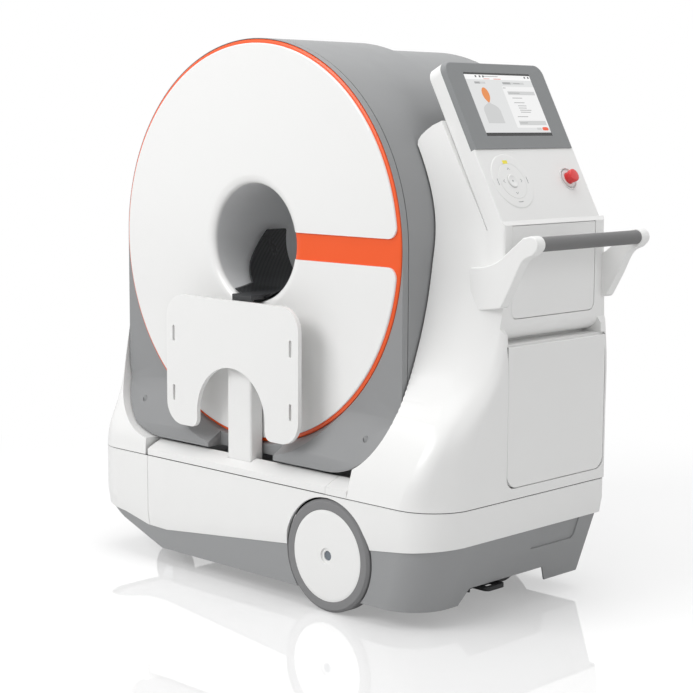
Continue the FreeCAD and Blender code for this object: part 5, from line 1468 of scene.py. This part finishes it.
@dataclass
class PatientSupport(Assembly):
    """Post, folding shoulder board and carbon head holder."""

    board_front: float = -100.0
    board_thickness: float = 14.0
    half_width: float = 290.0
    bottom: float = 459.0
    top: float = 857.0
    corner: float = 72.0
    foot_outer: float = 70.0
    foot_inner: float = 27.0
    arch_half: float = 150.0
    arch_round: float = 149.0
    arch_top: float = 656.0
    slot_across: float = 257.0
    slot_heights: Spot = (738.0, 555.0)
    slot_length: float = 50.0
    slot_half: float = 5.0
    hinge: Spot = (-75.5, 838.0)
    knuckle: Profile = ((4.1, -24), (8, -24), (8, 24), (4.1, 24))
    holder_radius: float = 150.0
    holder_wall: float = 5.0
    holder_flare: float = 7.0
    holder_waist: float = 60.0
    holder_centre: float = 1015.0
    holder_side: Profile = ((0, 845), (0, 880), (74, 893), (108, 949), (190, 1047), (272, 1047), (272, 845))

    def board_outline(self) -> list[Spot]:
        """Front view of the board: wide shoulders, an arch for the post and two rounded feet.

        Returns:
            The outline's points.
        """
        spread, foot = self.half_width - self.foot_outer, self.bottom + self.foot_outer
        heel, sole = self.arch_half + self.foot_inner, self.bottom + self.foot_inner
        crown = self.arch_half - self.arch_round
        spring = self.arch_top - self.arch_round
        shoulder = (self.half_width - self.corner, self.top - self.corner)
        right = [*arc((crown, spring), self.arch_round, 90, 0, 32),
                 *arc((heel, sole), self.foot_inner, 180, 270, 8),
                 *arc((spread, foot), self.foot_outer, 270, 360, 16),
                 *arc(shoulder, self.corner, 0, 90, 16)]
        return right + [(-x, z) for x, z in reversed(right)]

    def board(self) -> None:
        """Plate with four slots for straps, bent up to a knuckle at the hinge."""
        front, back = self.board_front, self.board_front + self.board_thickness
        plate = along_bore(self.board_outline(), front, back - front)
        reach = self.slot_length / 2 - self.slot_half
        cutters = []
        for x in (-self.slot_across, self.slot_across):
            for z in self.slot_heights:
                outline = arc((x, z + reach), self.slot_half, 0, 180, 10)
                outline += arc((x, z - reach), self.slot_half, 180, 360, 10)
                cutters.append(along_bore(outline, front - 4, 24))
        combine(plate, cutters, "DIFFERENCE")
        y, z = self.hinge
        knuckle = Blank().lathe(self.knuckle, 48, Vector((0, y, z)), Vector((1, 0, 0))).temporary()
        leaf = Blank().box((-24, back - 1, z - 8), (24, y - 5, z + 8)).temporary()
        combine(plate, [leaf, knuckle], "UNION")
        self.piece(plate, "shoulder_plate", PLATE, "board", "white_frame", ["shoulder_board"], 30, 1.3, 3)

    def holder(self) -> None:
        """Carbon trough: turned about the bore's axis, cut to its side view, with a map for the cloth."""
        inner, wall, waist, side = self.holder_radius, self.holder_wall, self.holder_waist, self.holder_side
        front, back = side[0][0] - 1, side[-1][0] + 1
        stops = [front + (waist - front) * k / 12 for k in range(13)]
        profile = [(inner + self.holder_flare * (1 - (y - front) / (waist - front)) ** 1.6, y) for y in stops]
        profile.append((inner, back))
        outer = [(radius + wall, y) for radius, y in reversed(profile)]
        shell = Blank().lathe([*profile, *outer], 288, Vector((0, 0, self.holder_centre))).temporary()
        rise = arc((side[4][0] + 5, side[4][1] - 9), 9, 128, 90, 4)
        end = arc((side[5][0] - 9, side[5][1] - 9), 9, 90, 0, 6)
        combine(shell, [across_bore([*side[:4], *rise, *end, side[6]], -400, 800)], "INTERSECT")
        made = self.piece(shell, "head_cradle", CARBON, "root", "carbon_holder", ["head_holder"], 35, 1.2)
        self.lay_cloth(made)

    def lay_cloth(self, item: bpy.types.Object) -> None:
        """Writes a UV map in metres: round the trough across, along the bore up.

        Args:
            item: The trough.
        """
        mesh = item.data
        cloth = mesh.uv_layers.new(name="cloth")
        for loop in mesh.loops:
            spot = (mesh.vertices[loop.vertex_index].co - FOOT) / MM
            turn = math.atan2(spot.x, self.holder_centre - spot.z)
            cloth.data[loop.index].uv = (turn * self.holder_radius * MM, spot.y * MM)

    def build(self) -> None:
        """Builds the support."""
        self.carry("post", PLATE, "root", "white_frame", 1.5)
        self.board()
        self.carry("board_bracket", BRACKET, "root", "bracket_metal", 0.5)
        self.carry("holder_bracket", FRAME, "root", "bracket_metal", 0.5)
        self.holder()


# ---------------------------------------------------------------- wheels


@dataclass
class Wheels(Assembly):
    """Drive wheels, casters and the brake pedal."""

    def build(self) -> None:
        """Builds the wheels."""
        for end in ("front", "rear"):
            self.carry(f"{end}_tyre", TYRE, f"{end}_wheel", "drive_tyre", 1.5)
            self.carry(f"{end}_hub", WHITE, f"{end}_wheel", "white_cover", 0.8)
            for side in ("left", "right"):
                self.dress(STEEL, f"{side}_{end}_fork")
                self.carry(f"{side}_{end}_roller", TYRE, f"{side}_{end}_roller", "drive_tyre", 3.0)
        self.carry("brake_pedal", BLACK, "brake_pedal", "black_tread", 0.6)
        ribs = tread_ribs(Vector((759, 198, 88)), 8.0, 6, (9.0, 2.4, 1.6), BLACK)
        self.piece(ribs, "pedal_ribs", BLACK, "brake_pedal", "black_tread")


# ---------------------------------------------------------------- studio


@dataclass
class Studio:
    """Camera, lamps, white surroundings and a pale floor with a faint mirror."""

    lens: float = 87.61
    yaw: float = 44.378
    pitch: float = 7.648
    roll: float = 0.258
    eye: tuple[float, float, float] = (3.6898, -3.3788, 1.3837)
    aim: tuple[float, float, float] = (0.0, 0.0, 0.8)

    def camera(self) -> None:
        """Puts the camera where the photograph was taken from."""
        yaw, pitch, roll = (math.radians(v) for v in (self.yaw, self.pitch, self.roll))
        ahead = Vector((-math.sin(yaw) * math.cos(pitch), math.cos(yaw) * math.cos(pitch), -math.sin(pitch)))
        right = Vector((math.cos(yaw), math.sin(yaw), 0))
        up = right.cross(ahead)
        across = right * math.cos(roll) + up * math.sin(roll)
        upright = up * math.cos(roll) - right * math.sin(roll)
        data = bpy.data.cameras.new("camera")
        data.sensor_width = 36.0
        data.lens = self.lens
        item = bpy.data.objects.new("camera", data)
        turn = Matrix((across, upright, -ahead)).transposed().to_4x4()
        item.matrix_world = Matrix.Translation(Vector(self.eye) + FOOT) @ turn
        bpy.context.scene.collection.objects.link(item)
        bpy.context.scene.camera = item

    def lamp(self, name: str, place: Vector, size: Spot, power: float) -> None:
        """Adds a soft rectangular lamp that is aimed at the scanner's middle.

        Args:
            name: The lamp's name.
            place: Where it hangs, in metres.
            size: Its width and height in metres.
            power: Its power in watts.
        """
        target = Vector(self.aim)
        data = bpy.data.lights.new(name, "AREA")
        data.shape = "RECTANGLE"
        data.size, data.size_y = size
        data.energy = power
        item = bpy.data.objects.new(name, data)
        turn = (target - place).to_track_quat("-Z", "Y").to_matrix().to_4x4()
        item.matrix_world = Matrix.Translation(place) @ turn
        bpy.context.scene.collection.objects.link(item)

    def world(self) -> None:
        """White for the camera and mirrors, a level grey for the light that falls on the object."""
        world = bpy.data.worlds.new("studio")
        bpy.context.scene.world = world
        world.use_nodes = True
        tree = world.node_tree
        tree.nodes.clear()
        path = add(tree, "ShaderNodeLightPath").outputs
        seen = add(tree, "ShaderNodeMath", {0: path["Is Camera Ray"], 1: path["Is Glossy Ray"]},
                   operation="MAXIMUM").outputs[0]
        seen = add(tree, "ShaderNodeMath", {0: seen, 1: path["Is Transmission Ray"]},
                   operation="MAXIMUM").outputs[0]
        level = add(tree, "ShaderNodeMapRange", {0: seen, 3: 0.50, 4: 1.0}).outputs[0]
        glow = add(tree, "ShaderNodeBackground", {"Color": (1, 1, 1, 1), "Strength": level})
        add(tree, "ShaderNodeOutputWorld", {"Surface": glow.outputs[0]})

    def floor(self) -> None:
        """Lays a pale floor whose far parts fade into the white surroundings."""
        bm = bmesh.new()
        bmesh.ops.create_grid(bm, x_segments=2, y_segments=2, size=14.0)
        mesh = bpy.data.meshes.new("floor")
        bm.to_mesh(mesh)
        bm.free()
        item = bpy.data.objects.new("floor", mesh)
        item.location = (0, 0, -0.0008)
        bpy.context.scene.collection.objects.link(item)
        made = bpy.data.materials.new("pale_studio_floor")
        made.use_nodes = True
        tree = made.node_tree
        tree.nodes.clear()
        path = add(tree, "ShaderNodeLightPath").outputs
        matt = add(tree, "ShaderNodeBsdfDiffuse", {"Color": (0.62, 0.62, 0.62, 1)})
        mirror = add(tree, "ShaderNodeBsdfGlossy", {"Color": (1, 1, 1, 1), "Roughness": 0.03})
        mixed = add(tree, "ShaderNodeMixShader", {0: 0.24, 1: matt.outputs[0], 2: mirror.outputs[0]})
        lift = add(tree, "ShaderNodeMath", {0: path["Is Camera Ray"], 1: 0.32}, operation="MULTIPLY")
        glow = add(tree, "ShaderNodeEmission", {"Color": (1, 1, 1, 1), "Strength": lift.outputs[0]})
        both = add(tree, "ShaderNodeAddShader", {0: mixed.outputs[0], 1: glow.outputs[0]})
        place = add(tree, "ShaderNodeTexCoord").outputs["Object"]
        away = add(tree, "ShaderNodeVectorMath", {0: place}, operation="LENGTH").outputs["Value"]
        fade = add(tree, "ShaderNodeMapRange", {0: away, 1: 1.5, 2: 2.6},
                   interpolation_type="SMOOTHSTEP").outputs[0]
        shown = add(tree, "ShaderNodeMath", {0: fade, 1: path["Is Camera Ray"]}, operation="MULTIPLY")
        white = add(tree, "ShaderNodeEmission", {"Color": (1, 1, 1, 1), "Strength": 1.0})
        faded = add(tree, "ShaderNodeMixShader", {0: shown.outputs[0], 1: both.outputs[0],
                                                  2: white.outputs[0]})
        add(tree, "ShaderNodeOutputMaterial", {"Surface": faded.outputs[0]})
        mesh.materials.append(made)

    def build(self) -> None:
        """Sets up the studio."""
        self.camera()
        self.world()
        self.floor()
        self.lamp("key", Vector((-1.5, -4.5, 3.8)), (3.5, 2.5), 146)
        self.lamp("top", Vector((0, 0, 4.5)), (4, 4), 86)
        self.lamp("side", Vector((4.5, 0.5, 2.5)), (3, 2.5), 32)


def main() -> None:
    """Builds the scanner and its studio."""
    logging.basicConfig(level=logging.INFO, format="%(name)s %(message)s")
    scene = bpy.context.scene
    scene.view_settings.view_transform = "Standard"
    Studio().build()
    for group in (FrontDisc(), GantryHousing(), RotorAndCarriage(), Base(), Uprights(), Console(), Display(),
                  PatientSupport(), Wheels()):
        group.build()
        LOG.info("%s: %d pieces", type(group).__name__, len(group.pieces))


if __name__ == "__main__":
    main()
